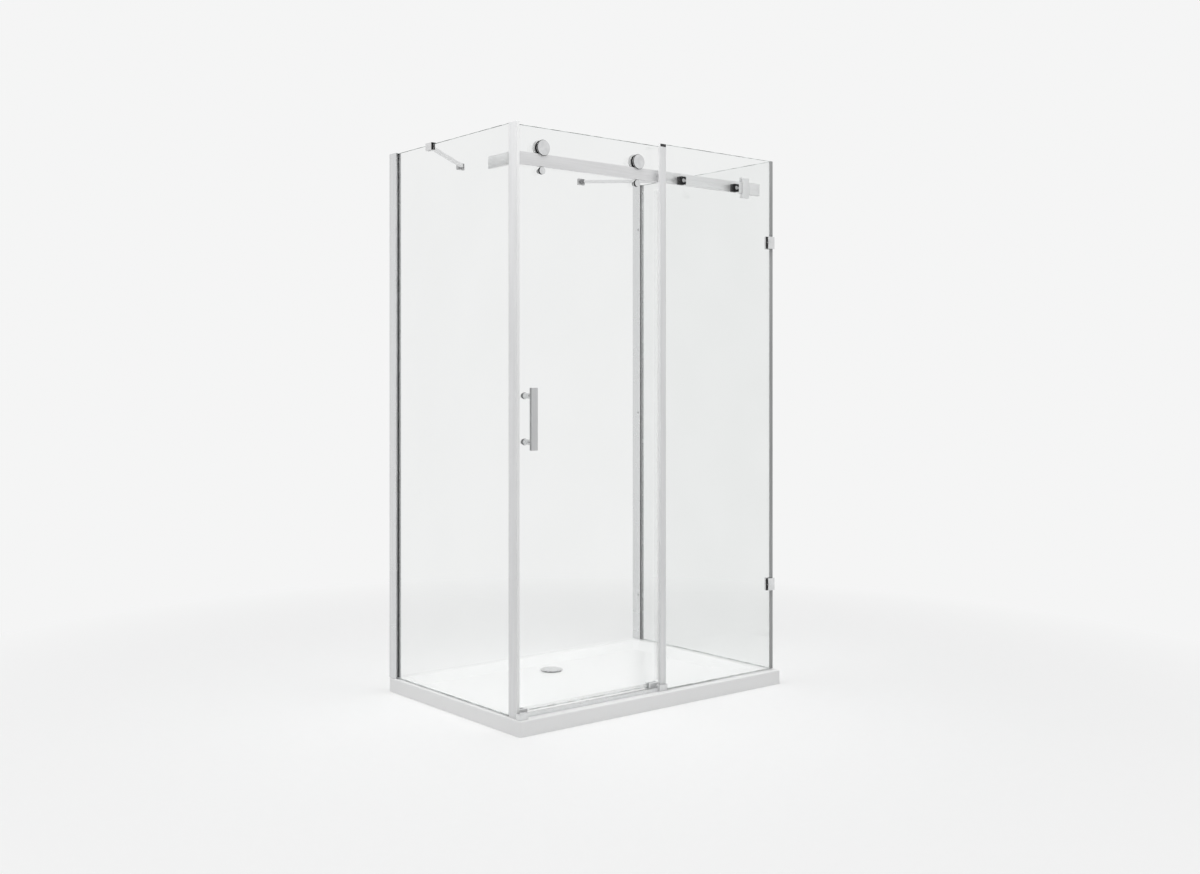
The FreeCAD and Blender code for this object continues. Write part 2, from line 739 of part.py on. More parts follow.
def rail_end_sleeve():
    body = prism("rail_end_sleeve", "YZ_Plane",
                 rectangle("-sleeve_wall", "rail_thickness + sleeve_wall", "-sleeve_wall",
                           "rail_height + sleeve_wall"), "sleeve_length + sleeve_end")
    inside = rectangle("0", "rail_thickness", "0", "rail_height")
    pocket(body, sketch_in(body, "YZ_Plane", inside), "sleeve_length", backwards=True)
    keep("rail_end_sleeve", place(body, "rail_right_x - sleeve_length", "rail_front_y", "rail_low_z"))


def rail_stopper():
    over = "(stopper_height - rail_height) / 2"
    body = prism("rail_stopper", "YZ_Plane",
                 rectangle("-stopper_front_wall", "rail_thickness + stopper_back_wall", f"-{over}",
                           f"rail_height + {over}"), "stopper_width")
    inside = rectangle("0", "rail_thickness", "0", "rail_height")
    pocket(body, sketch_in(body, "YZ_Plane", inside), "stopper_width", backwards=True)
    keep("rail_stopper", place(body, "stopper_x - stopper_width / 2", "rail_front_y", "rail_low_z"))
    face = "stopper_x - stopper_width / 2"
    keep("stopper_bumper", block("stopper_bumper", (f"{face} - bumper_thickness", face),
         ("rail_front_y", "rail_back_y"),
         ("rail_top_z + bumper_above_rail", "rail_top_z + bumper_above_rail + bumper_height")))


def rail_connectors():
    """Spacer, gaskets, front plate and bolt that carry the rail on the fixed panel."""
    bolt_outline = [("0", "0"), ("connector_bolt_head_radius", "0"),
                    ("connector_bolt_radius", "connector_bolt_head_radius - connector_bolt_radius"),
                    ("connector_bolt_radius", "rail_front_y - front_out_y + gasket_thickness"
                     " + connector_plate + connector_bolt_depth"),
                    ("0", "rail_front_y - front_out_y + gasket_thickness"
                     " + connector_plate + connector_bolt_depth")]
    face = "front_out_y - gasket_thickness - connector_plate"
    hole = "connector_bolt_radius + screw_fit"
    layers = {
        "rail_clamp_plates": (face, "front_out_y - gasket_thickness"),
        "rail_gaskets_outer": ("front_out_y - gasket_thickness", "front_out_y"),
        "rail_gaskets_inner": ("front_in_y", "front_in_y + gasket_thickness"),
        "rail_spacers": ("front_in_y + gasket_thickness", "rail_front_y"),
    }
    made = {name: [] for name in layers}
    bolts = []
    for side in ("left", "right"):
        x = f"connector_{side}_x"
        for name, (front, back) in layers.items():
            slab = block(f"{name}_{side}_slab",
                         (f"{x} - connector_width / 2", f"{x} + connector_width / 2"), (front, back),
                         ("connector_z - connector_height / 2", "connector_z + connector_height / 2"))
            drill = rod(f"{name}_{side}_drill", hole, f"({back}) - ({front})", x, front, "connector_z", "+y")
            if name == "rail_clamp_plates":
                drill = fuse(f"{name}_{side}_sink", drill, sink_for_bolt(side, x, face))
            made[name].append(cut(f"{name}_{side}", slab, drill))
        bolts.append(turned(f"rail_bolt_{side}", bolt_outline, x, face, "connector_z", "+y"))
    keep("rail_clamp_plates", group("rail_clamp_plates", *made["rail_clamp_plates"]))
    gaskets = made["rail_gaskets_outer"] + made["rail_gaskets_inner"]
    keep("rail_gaskets", group("rail_gaskets", *gaskets))
    keep("rail_spacers", group("rail_spacers", *made["rail_spacers"]))
    keep("rail_bolts", group("rail_bolts", *bolts))


def sink_for_bolt(side, x, face):
    """The cone that a countersunk head needs in its plate."""
    cone = document.addObject("Part::Cone", f"bolt_sink_{side}")
    bind(cone, "Radius1", "connector_bolt_head_radius + screw_fit")
    bind(cone, "Radius2", "connector_bolt_radius + screw_fit")
    bind(cone, "Height", "connector_bolt_head_radius - connector_bolt_radius")
    return place(cone, x, face, "connector_z", "+y")


# ---------------------------------------------------------------- seals

def left_corner_seal():
    wall = "seal_wall"
    outline = [("0", "0"), (f"glass_thickness + 2 * {wall}", "0"),
               (f"glass_thickness + 2 * {wall}", f"corner_seal_inner_leg + {wall}"),
               (f"glass_thickness + {wall}", f"corner_seal_inner_leg + {wall}"),
               (f"glass_thickness + {wall}", wall), (wall, wall),
               (wall, f"corner_seal_leg + {wall}"), ("0", f"corner_seal_leg + {wall}")]
    seal = prism("left_corner_seal", "XY_Plane", outline, "profile_length")
    keep("left_corner_seal", place(seal, "left_out_x - seal_wall", "front_out_y - seal_wall", "rim_z"))
    middle = "door_out_y + glass_thickness / 2"
    keep("left_magnet_strip", block("left_magnet_strip", ("left_in_x", "left_in_x + magnet_thickness"),
         (f"{middle} - magnet_width / 2", f"{middle} + magnet_width / 2"),
         ("glass_low_z", "seal_top_z")))


def right_corner_seal():
    """An angle over the front right corner, in three lengths between the clamps."""
    leg, wall = "right_seal_leg", "seal_wall"
    outline = [(f"-{leg}", f"-{wall}"), (wall, f"-{wall}"), (wall, leg), ("0", leg), ("0", "0"),
               (f"-{leg}", "0")]
    stops = ["glass_low_z"]
    for level in CLAMP_LEVELS:
        stops += [f"{level} - clamp_height / 2", f"{level} + clamp_height / 2"]
    stops.append("glass_top_z")
    lengths = []
    for number, (low, high) in enumerate(zip(stops[::2], stops[1::2]), 1):
        piece = prism(f"right_corner_seal_{number}", "XY_Plane", outline, f"({high}) - ({low})")
        lengths.append(place(piece, "-left_out_x", "front_out_y", low))
    keep("right_corner_seal", group("right_corner_seal", *lengths))


def edge_channel(name, leg, length, x, y, z, opens_right):
    """A channel clipped over a panel's upright edge, with a lip across the gap."""
    side = "" if opens_right else "-"
    outline = [("0", "0"), (f"{side}({leg} + seal_wall)", "0"), (f"{side}({leg} + seal_wall)", "seal_wall"),
               (f"{side}seal_wall", "seal_wall"), (f"{side}seal_wall", "seal_wall + glass_thickness"),
               (f"{side}({leg} + seal_wall)", "seal_wall + glass_thickness"),
               (f"{side}({leg} + seal_wall)", "2 * seal_wall + glass_thickness"),
               ("0", "2 * seal_wall + glass_thickness")]
    return place(prism(name, "XY_Plane", outline, length), x, y, z)


def fixed_edge_seal():
    clip = edge_channel("fixed_edge_clip", "edge_seal_leg", "glass_height", "fixed_left_x - seal_wall",
                        "front_out_y - seal_wall", "glass_low_z", True)
    lip = block("fixed_edge_lip", ("fixed_left_x + lip_setback", "fixed_left_x + lip_setback + seal_wall"),
                ("front_in_y + seal_wall", "door_out_y - lip_seal_gap"),
                ("guide_top_z + lip_clearance", "lip_top_z"))
    keep("fixed_edge_seal", fuse("fixed_edge_seal", clip, lip))


def door_trailing_seal():
    low = "guide_top_z + lip_clearance"
    clip = edge_channel("trailing_clip", "door_seal_leg", f"lip_top_z - ({low})", "door_right_x + seal_wall",
                        "door_out_y - seal_wall", low, False)
    lip = block("trailing_lip", ("door_right_x - seal_wall - lip_seal_gap", "door_right_x - lip_seal_gap"),
                ("front_in_y + lip_seal_gap", "door_out_y - seal_wall"), (low, "lip_top_z"))
    keep("door_trailing_seal", fuse("door_trailing_seal", clip, lip))


def door_lead_seal():
    low = "sweep_top_z + seal_wall"
    clip = edge_channel("lead_clip", "door_seal_leg", f"seal_top_z - ({low})", "door_left_x - seal_wall",
                        "door_out_y - seal_wall", low, True)
    magnet = block("lead_magnet", ("left_in_x + magnet_thickness + magnet_gap", "door_left_x - seal_wall"),
                   ("door_out_y", "door_in_y"), (low, "seal_top_z"))
    keep("door_lead_seal", fuse("door_lead_seal", clip, magnet))


def door_sweep():
    """The channel under the door's lower edge, with a short blade."""
    half, inner, blade = "(glass_thickness / 2 + seal_wall)", "glass_thickness / 2", "seal_wall / 2"
    outline = [(f"-{half}", "-seal_wall"), (f"-{blade}", "-seal_wall"),
               (f"-{blade}", "-seal_wall - sweep_blade"), (blade, "-seal_wall - sweep_blade"),
               (blade, "-seal_wall"), (half, "-seal_wall"),
               (half, "sweep_leg"), (inner, "sweep_leg"), (inner, "0"), (f"-{inner}", "0"),
               (f"-{inner}", "sweep_leg"), (f"-{half}", "sweep_leg")]
    keep("door_sweep", place(prism("door_sweep", "YZ_Plane", outline, "door_width"),
                             "door_left_x", "door_out_y + glass_thickness / 2", "door_low_z"))


# ---------------------------------------------------------------- guides on the tray

def slotted_guide(name, height):
    """A block with a slot along X for the door's lower edge, drilled for one screw."""
    depth, slot = "guide_depth", "guide_slot"
    near, far = f"({depth} - {slot}) / 2", f"({depth} + {slot}) / 2"
    outline = [("0", "0"), (depth, "0"), (depth, height), (far, height), (far, "guide_floor"),
               (near, "guide_floor"), (near, height), ("0", height)]
    body = prism(name, "YZ_Plane", outline, "guide_width")
    hole = [("guide_width / 2", "guide_depth / 2", "guide_screw_radius + screw_fit")]
    pocket(body, sketch_in(body, "XY_Plane", circles=hole), "guide_floor", backwards=True)
    sink = [("guide_width / 2", "guide_depth / 2", "guide_screw_head_radius + screw_fit")]
    pocket(body, sketch_in(body, "XY_Plane", circles=sink, offset="guide_floor"), "guide_screw_radius")
    return body


def guides():
    keep("corner_guide", place(slotted_guide("corner_guide", "corner_guide_height"),
                               "door_left_x - seal_wall", "guide_front_y", "rim_z"))
    keep("middle_guide", place(slotted_guide("middle_guide", "middle_guide_height"),
                               "middle_guide_x", "guide_front_y", "rim_z"))
    top = "guide_floor"
    outline = [("0", f"{top} - guide_screw_length"), ("guide_screw_radius", f"{top} - guide_screw_length"),
               ("guide_screw_radius", f"{top} - guide_screw_radius"),
               ("guide_screw_head_radius", f"{top} - guide_screw_radius"), ("guide_screw_head_radius", top),
               ("0", top)]
    screws = [turned(f"guide_screw_{number}", outline, x, y, "rim_z")
              for number, (x, y) in enumerate(GUIDE_SCREWS, 1)]
    keep("guide_screws", group("guide_screws", *screws))


def threshold_bar():
    tall, deep, slope = "threshold_height", "threshold_depth", "threshold_chamfer"
    outline = [("0", "0"), (deep, "0"), (deep, f"{tall} - {slope}"), (f"{deep} - {slope}", tall),
               ("0", tall)]
    bar = prism("threshold_bar", "YZ_Plane", outline, "foot_x - left_in_x - seal_wall")
    keep("threshold_bar", place(bar, "left_in_x + seal_wall", "front_out_y", "rim_z"))


def fixed_glass_foot():
    """The shoe that holds the fixed panel's lower left corner, and the foot at the tray's front left."""
    front, back = "foot_front_wall", "foot_back_wall"
    slot = "glass_thickness + 2 * seal_wall"
    outline = rectangle(f"-{front}", f"{slot} + {back}", "0", "foot_height")
    body = prism("glass_shoe", "YZ_Plane", outline, "foot_length")
    opening = rectangle("foot_end", "foot_length", "0", slot)
    pocket(body, sketch_in(body, "XY_Plane", opening, offset="foot_height"), "foot_height - base_seal_height")
    shoe = place(body, "foot_x", "front_out_y - seal_wall", "rim_z")
    keep("fixed_glass_foot", group("fixed_glass_foot", shoe, corner_foot()))


def corner_foot():
    """The small foot on the rim in front of the left corner seal."""
    body = prism("corner_foot", "XY_Plane",
                 rectangle("0", "corner_foot_width", "-corner_foot_depth", "0"), "corner_foot_height")
    return place(body, "left_out_x - corner_foot_overhang", "front_out_y - seal_wall - rest_gap", "rim_z")


# ---------------------------------------------------------------- corner clamps

def angle_plate(name, leg, thickness, corner_x, corner_y, inward):
    """An upright L-shaped plate with legs to -X and +Y from its outer corner.

    The outer plate takes blind holes from inside, and the inner plate holes right through.
    """
    outline = [("0", "0"), ("0", leg), (f"-({thickness})", leg), (f"-({thickness})", thickness),
               (f"-({leg})", thickness), (f"-({leg})", "0")]
    body = prism(name, "XY_Plane", outline, "clamp_height")
    depth = "clamp_screw_bite" if inward else thickness
    front = [(f"clamp_screw_x - ({corner_x})", "clamp_height / 2", "clamp_screw_radius")]
    side = [(f"clamp_screw_y - ({corner_y})", "clamp_height / 2", "clamp_screw_radius")]
    offset = f"-({thickness})" if inward else "0"
    pocket(body, sketch_in(body, "XZ_Plane", circles=front, offset=offset), depth, backwards=inward)
    pocket(body, sketch_in(body, "YZ_Plane", circles=side, offset=offset), depth, backwards=inward)
    return body


def corner_clamps():
    """Outer and inner angle plates with gaskets, drawn together by two screws each."""
    outer_x = "-left_out_x + gasket_thickness + clamp_thickness"
    outer_y = "front_out_y - gasket_thickness - clamp_thickness"
    inner_x, inner_y = "right_in_x - gasket_thickness", "front_in_y + gasket_thickness"
    inner_leg = "clamp_leg - 2 * clamp_thickness"
    nodes = {name: [] for name in ("clamp_outer_plates", "clamp_inner_plates", "clamp_gaskets",
                                   "clamp_screws")}
    outer_size = ("clamp_leg", "clamp_thickness", outer_x, outer_y)
    inner_size = (inner_leg, "clamp_inner_thickness", inner_x, inner_y)
    for name in ("low", "high"):
        middle = f"clamp_{name}_z"
        low, high = f"{middle} - clamp_height / 2", f"{middle} + clamp_height / 2"
        outer = angle_plate(f"clamp_outer_{name}", *outer_size, True)
        nodes["clamp_outer_plates"].append(place(outer, outer_x, outer_y, low))
        inner = angle_plate(f"clamp_inner_{name}", *inner_size, False)
        nodes["clamp_inner_plates"].append(place(inner, inner_x, inner_y, low))
        reach = "clamp_leg - clamp_thickness - gasket_thickness"
        pads = {
            "front": ((f"-left_out_x - ({reach})", "fixed_right_x"),
                      ("front_out_y - gasket_thickness", "front_out_y"), "y"),
            "side": (("-left_out_x", "-left_out_x + gasket_thickness"),
                     ("front_out_y", f"front_out_y + {reach}"), "x"),
            "front_inside": ((f"{inner_x} - ({inner_leg})", "fixed_right_x"),
                             ("front_in_y", inner_y), "y"),
            "side_inside": ((inner_x, "right_in_x"),
                            (inner_y, f"{inner_y} + {inner_leg}"), "x"),
        }
        for pad_name, (x, y, axis) in pads.items():
            slab = block(f"clamp_pad_{name}_{pad_name}_slab", x, y, (low, high))
            if axis == "y":
                drill = rod(f"clamp_pad_{name}_{pad_name}_drill", "clamp_screw_radius + screw_fit",
                            "gasket_thickness", "clamp_screw_x", y[0], middle, "+y")
            else:
                drill = rod(f"clamp_pad_{name}_{pad_name}_drill", "clamp_screw_radius + screw_fit",
                            "gasket_thickness", x[0], "clamp_screw_y", middle, "+x")
            nodes["clamp_gaskets"].append(cut(f"clamp_pad_{name}_{pad_name}", slab, drill))
        grip = "clamp_inner_thickness + 2 * gasket_thickness + glass_thickness + clamp_screw_bite"
        outline = [("0", "-clamp_head_height"), ("clamp_head_radius", "-clamp_head_height"),
                   ("clamp_head_radius", "0"), ("clamp_screw_radius", "0"), ("clamp_screw_radius", grip),
                   ("0", grip)]
        nodes["clamp_screws"].append(turned(f"clamp_screw_{name}_front", outline, "clamp_screw_x",
                                            f"{inner_y} + clamp_inner_thickness", middle, "-y"))
        nodes["clamp_screws"].append(turned(f"clamp_screw_{name}_side", outline,
                                            f"{inner_x} - clamp_inner_thickness", "clamp_screw_y",
                                            middle, "+x"))
    for node, pieces in nodes.items():
        keep(node, group(node, *pieces))


# ---------------------------------------------------------------- braces

def braces():
    """A bar from a cap on each side panel's top edge to a plate on the wall."""
    half = "brace_clamp_length / 2"
    cap = block("brace_cap", ("left_out_x - brace_clamp_wall", "left_in_x + brace_clamp_wall"),
                (f"brace_y - {half}", f"brace_y + {half}"),
                ("glass_top_z - brace_clamp_below", "glass_top_z + brace_clamp_above"))
    slot = block("brace_cap_slot", ("left_out_x", "left_in_x"),
                 (f"brace_y - {half}", f"brace_y + {half}"),
                 ("glass_top_z - brace_clamp_below", "glass_top_z"))
    clamp = cut("brace_clamp", cap, slot)
    plate = block("brace_plate_slab",
                  ("-brace_plate_x - brace_plate_width / 2", "-brace_plate_x + brace_plate_width / 2"),
                  ("wall_y - brace_plate_depth", "wall_y"),
                  ("brace_z - brace_plate_height / 2", "brace_z + brace_plate_height / 2"))
    holes = [rod(f"brace_plate_hole_{name}", "brace_hole_radius", "brace_plate_depth",
                 f"-brace_plate_x {side} brace_hole_spacing / 2", "wall_y - brace_plate_depth",
                 "brace_z", "+y")
             for name, side in (("left", "-"), ("right", "+"))]
    drilled = cut("brace_plate_drilled", plate, *holes)
    post = rod("brace_knuckle_post", "brace_knuckle_radius", "brace_knuckle_height", "-brace_plate_x",
               "brace_knuckle_y", "brace_z - brace_knuckle_height / 2")
    neck = block("brace_knuckle_neck",
                 ("-brace_plate_x - brace_knuckle_radius", "-brace_plate_x + brace_knuckle_radius"),
                 ("brace_knuckle_y", "wall_y - brace_plate_depth"),
                 ("brace_z - brace_knuckle_height / 2", "brace_z + brace_knuckle_height / 2"))
    wall_plate = fuse("brace_wall_plate", drilled, post, neck)
    bar = cut("brace_bar", brace_bar_blank(), group("brace_bar_trim", cap, post, neck))
    for node, piece in (("brace_clamps", clamp), ("brace_wall_plates", wall_plate), ("brace_bars", bar)):
        keep(node, group(node, piece, mirrored(f"{piece.Name}_right", piece)))


def brace_bar_blank():
    """A square bar between the middles of the cap's inner face and the knuckle."""
    run_x, run_y = "(-brace_plate_x - brace_clamp_x)", "(brace_knuckle_y - brace_y)"
    bar = document.addObject("Part::Box", "brace_bar_blank")
    bind(bar, "Length", f"sqrt({run_x} ^ 2 + {run_y} ^ 2) + brace_bar / 2")
    bind(bar, "Width", "brace_bar")
    bind(bar, "Height", "brace_bar")
    angle = f"atan2({run_y}; {run_x})"
    bar.Placement.Rotation = FreeCAD.Rotation(Vector(0, 0, 1), 30)
    bind(bar, "Placement.Rotation.Angle", angle)
    back = "brace_bar / 2"
    bind(bar, "Placement.Base.x", f"brace_clamp_x - {back} * cos({angle}) + {back} * sin({angle})")
    bind(bar, "Placement.Base.y", f"brace_y - {back} * sin({angle}) - {back} * cos({angle})")
    bind(bar, "Placement.Base.z", f"brace_z - {back}")
    return bar


# ---------------------------------------------------------------- running gear

ROLLERS = ("left", "right")


def wheels():
    """Grooved wheels on bearings, one above the rail at each end of the door."""
    half = "(rail_thickness / 2 + wheel_side_gap)"
    outer = f"({half} + wheel_flange_thickness)"
    tread = [("bearing_radius", f"-{outer}"), ("wheel_flange_radius", f"-{outer}"),
             ("wheel_flange_radius", f"-{half}"), ("wheel_radius", f"-{half}"), ("wheel_radius", half),
             ("wheel_flange_radius", half), ("wheel_flange_radius", outer), ("bearing_radius", outer)]
    for side in ROLLERS:
        at = (f"roller_{side}_x", "rail_mid_y", "roller_z", "+y")
        keep(f"roller_wheel_{side}", turned(f"roller_wheel_{side}", tread, *at))
        race = ring_outline("axle_radius + bearing_fit", "bearing_radius", f"-{half}", half)
        keep(f"roller_bearing_{side}", turned(f"roller_bearing_{side}", race, *at))


def roller_mountings():
    """Cap, axle, washer and nut that carry each wheel on the door's glass."""
    wheel_half = "rail_thickness / 2 + wheel_side_gap + wheel_flange_thickness"
    cap_back = f"rail_mid_y - ({wheel_half}) - wheel_side_gap"
    washer_front = f"rail_mid_y + {wheel_half} + wheel_side_gap"
    chamfer, cap = "roller_cap_chamfer", "roller_cap_thickness"
    cap_outline = [("axle_radius", "0"), (f"roller_cap_radius - {chamfer}", "0"),
                   ("roller_cap_radius", chamfer), ("roller_cap_radius", cap), ("axle_radius", cap)]
    thick = f"door_out_y - gasket_thickness - ({washer_front})"
    washer_outline = ring_outline("axle_radius", "roller_washer_radius", "0", thick)
    gasket_outline = ring_outline("roller_washer_spigot", "roller_washer_radius", thick,
                                  f"{thick} + gasket_thickness")
    spigot = f"{thick} + gasket_thickness + glass_thickness"
    bush_outline = ring_outline("axle_radius", "roller_washer_spigot", thick, spigot)
    nut_outline = ring_outline("axle_radius", "roller_nut_radius", "0", "roller_nut_height")
    axle_length = f"door_in_y + roller_nut_height - ({cap_back}) + {cap}"
    axle_outline = rectangle("0", "axle_radius", "0", axle_length)
    nodes = {name: [] for name in ("roller_caps", "roller_axles", "roller_washers", "roller_bushes",
                                   "roller_nuts")}
    for side in ROLLERS:
        x = f"roller_{side}_x"
        front = (x, f"{cap_back} - {cap}", "roller_z", "+y")
        behind = (x, washer_front, "roller_z", "+y")
        nodes["roller_caps"].append(turned(f"roller_cap_{side}", cap_outline, *front))
        nodes["roller_axles"].append(turned(f"roller_axle_{side}", axle_outline, *front))
        nodes["roller_washers"].append(turned(f"roller_washer_{side}", washer_outline, *behind))
        nodes["roller_bushes"].append(turned(f"roller_gasket_{side}", gasket_outline, *behind))
        nodes["roller_bushes"].append(turned(f"roller_bush_{side}", bush_outline, *behind))
        nut_at = (x, "door_in_y", "roller_z", "+y")
        nodes["roller_nuts"].append(turned(f"roller_nut_{side}", nut_outline, *nut_at))
    for node, pieces in nodes.items():
        keep(node, group(node, *pieces))


def lift_stops():
    """Discs just under the rail that keep the wheels from jumping off it."""
    neck = "door_out_y - rail_back_y - gasket_thickness"
    front = "rail_front_y + gasket_thickness"
    wide = "rail_thickness"
    bore = "lift_stop_screw_radius"
    length = f"(door_out_y - ({front}))"
    bite = f"{length} / 2"
    disc = [("0", "0"), ("lift_stop_radius", "0"), ("lift_stop_radius", wide),
            ("lift_stop_neck_radius", wide), ("lift_stop_neck_radius", f"{wide} + {neck}"),
            (bore, f"{wide} + {neck}"), (bore, bite), ("0", bite)]
    reach = f"glass_thickness + {length} - {bite}"
    screw = [("0", "-lift_stop_head_height"), ("lift_stop_head_radius", "-lift_stop_head_height"),
             ("lift_stop_head_radius", "0"), (bore, "0"), (bore, reach), ("0", reach)]
    discs, screws = [], []
    for side in ROLLERS:
        x = f"roller_{side}_x"
        discs.append(turned(f"lift_stop_{side}", disc, x, front, "lift_stop_z", "+y"))
        screws.append(turned(f"lift_stop_screw_{side}", screw, x, "door_in_y", "lift_stop_z", "-y"))
    keep("lift_stops", group("lift_stops", *discs))
    keep("lift_stop_screws", group("lift_stop_screws", *screws))


# ---------------------------------------------------------------- handle

def handle():
    body = prism("handle_bar", "XZ_Plane", rectangle("-handle_width / 2", "handle_width / 2",
                 "-handle_length / 2", "handle_length / 2"), "handle_thickness", backwards=True)
    round_edges(body, "handle_edge_radius", lambda edge: True)
    front = "door_out_y - handle_reach"
    keep("handle_bar", place(body, "handle_x", f"{front} - handle_thickness", "handle_z"))
    bore, depth = "handle_screw_radius", "handle_screw_depth"
    post = [(bore, "0"), ("collar_radius", "0"), ("collar_radius", "collar_height"),
            ("post_radius", "collar_height"), ("post_radius", "handle_reach"), ("0", "handle_reach"),
            ("0", depth), (bore, depth)]
    reach = f"glass_thickness + {depth}"
    screw = [("0", "-handle_head_height"), ("handle_head_radius", "-handle_head_height"),
             ("handle_head_radius", "0"), (bore, "0"), (bore, reach), ("0", reach)]
    posts, screws = [], []
    for name, side in (("lower", "-"), ("upper", "+")):
        level = f"handle_z {side} handle_spacing / 2"
        posts.append(turned(f"handle_post_{name}", post, "handle_x", "door_out_y", level, "-y"))
        screws.append(turned(f"handle_screw_{name}", screw, "handle_x", "door_in_y", level, "-y"))
    keep("handle_posts", group("handle_posts", *posts))
    keep("handle_screws", group("handle_screws", *screws))


# ---------------------------------------------------------------- build and write

def check(piece):
    """Stop if a piece failed or has no sound shape."""
    for member in [piece] + piece.OutListRecursive:
        if {"Invalid", "Error"} & set(member.State):
            raise ValueError(f"{member.Name} failed: {member.State}")
    shape = piece.Shape
    if shape.isNull() or not shape.isValid() or not shape.Solids:
        raise ValueError(f"{piece.Label} has no valid solid")


def build():
    for make in (shower_tray, waste, drain_cover, side_glass, fixed_front_glass, door_glass,
                 glass_base_seals, wall_profiles, inner_profiles, profile_gaskets, profile_end_caps,
                 profile_screws, rail_bar, rail_bracket, rail_end_sleeve, rail_stopper,
                 rail_connectors, left_corner_seal, right_corner_seal, fixed_edge_seal,
                 door_trailing_seal, door_lead_seal, door_sweep, guides, threshold_bar,
                 fixed_glass_foot, corner_clamps, braces, wheels, roller_mountings, lift_stops, handle):
        make()
    document.recompute()
    os.makedirs("parts", exist_ok=True)
    for piece in kept:
        check(piece)
    for piece in kept:
        piece.Shape.exportStep(f"parts/{piece.Label}.step")
    print(len(kept), "pieces written")


build()
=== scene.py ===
"""Shower enclosure with a sliding door: glass panels on a white tray, a flat rail with two rollers."""
import json
import math

import bmesh
import bpy
from mathutils import Matrix, Vector

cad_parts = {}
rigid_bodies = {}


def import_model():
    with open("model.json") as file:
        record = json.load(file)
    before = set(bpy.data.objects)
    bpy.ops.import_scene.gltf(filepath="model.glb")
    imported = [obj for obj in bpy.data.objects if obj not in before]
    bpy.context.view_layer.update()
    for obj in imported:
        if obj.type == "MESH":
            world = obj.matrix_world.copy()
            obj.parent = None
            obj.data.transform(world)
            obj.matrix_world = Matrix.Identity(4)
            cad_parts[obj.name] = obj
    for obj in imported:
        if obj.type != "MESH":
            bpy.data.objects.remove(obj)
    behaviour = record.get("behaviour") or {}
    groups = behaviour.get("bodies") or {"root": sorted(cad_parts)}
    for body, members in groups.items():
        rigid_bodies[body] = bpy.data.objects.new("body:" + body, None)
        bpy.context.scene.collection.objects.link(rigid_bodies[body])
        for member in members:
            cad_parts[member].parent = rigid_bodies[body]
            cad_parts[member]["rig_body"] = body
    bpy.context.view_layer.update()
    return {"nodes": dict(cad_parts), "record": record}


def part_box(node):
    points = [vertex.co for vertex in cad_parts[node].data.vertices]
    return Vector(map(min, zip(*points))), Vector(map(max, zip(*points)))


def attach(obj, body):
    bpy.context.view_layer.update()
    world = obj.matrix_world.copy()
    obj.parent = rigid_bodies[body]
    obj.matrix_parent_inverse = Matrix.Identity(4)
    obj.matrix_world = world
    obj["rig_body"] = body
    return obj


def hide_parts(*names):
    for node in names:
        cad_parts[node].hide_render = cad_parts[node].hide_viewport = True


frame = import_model()


# ---------------------------------------------------------------- materials
# Every pattern reads Object coordinates; a node's mesh is in the part's own frame, in metres.
# A grain is drawn out along the axes where its stretch is small.

EVEN = (1, 1, 1)
LEVEL_GRAIN = (0.05, 0.05, 6)
UPRIGHT_GRAIN = (6, 6, 0.03)
HANDLE_GRAIN = (6, 6, 0.05)
EXTRUDED = (1, 1, 0.05)
GRAIN_DEPTH = 0.0002


def new_material(name):
    """An empty material with its nodes, its shader and its output."""
    material = bpy.data.materials.new(name)
    material.use_nodes = True
    nodes = material.node_tree.nodes
    return material, nodes, material.node_tree.links, nodes["Principled BSDF"]


def set_shader(shader, **values):
    """Sets the shader's own sockets by name, with underscores for spaces."""
    for name, value in values.items():
        shader.inputs[name.replace("_", " ")].default_value = value


def object_noise(nodes, links, stretch=EVEN, scale=40, detail=3):
    """Noise on Object coordinates, drawn out where stretch is small."""
    place = nodes.new("ShaderNodeTexCoord")
    mapping = nodes.new("ShaderNodeMapping")
    mapping.inputs["Scale"].default_value = stretch
    noise = nodes.new("ShaderNodeTexNoise")
    noise.inputs["Scale"].default_value = scale
    noise.inputs["Detail"].default_value = detail
    links.new(place.outputs["Object"], mapping.inputs["Vector"])
    links.new(mapping.outputs["Vector"], noise.inputs["Vector"])
    return noise


def spread(nodes, links, source, low, high, start=0.35, end=0.65):
    """A noise value spread between low and high."""
    span = nodes.new("ShaderNodeMapRange")
    for name, value in (("From Min", start), ("From Max", end), ("To Min", low), ("To Max", high)):
        span.inputs[name].default_value = value
    links.new(source, span.inputs["Value"])
    return span.outputs["Result"]


def tint(nodes, links, source, dark, light, start=0.35, end=0.65):
    """A noise value turned into a colour between dark and light."""
    ramp = nodes.new("ShaderNodeValToRGB")
    ramp.color_ramp.elements[0].position, ramp.color_ramp.elements[0].color = start, (*dark, 1)
    ramp.color_ramp.elements[1].position, ramp.color_ramp.elements[1].color = end, (*light, 1)
    links.new(source, ramp.inputs["Fac"])
    return ramp.outputs["Color"]


def relief(nodes, links, source, shader, strength):
    """Fine relief on the surface."""
    bump = nodes.new("ShaderNodeBump")
    bump.inputs["Strength"].default_value = strength
    bump.inputs["Distance"].default_value = GRAIN_DEPTH
    links.new(source, bump.inputs["Height"])
    links.new(bump.outputs["Normal"], shader.inputs["Normal"])


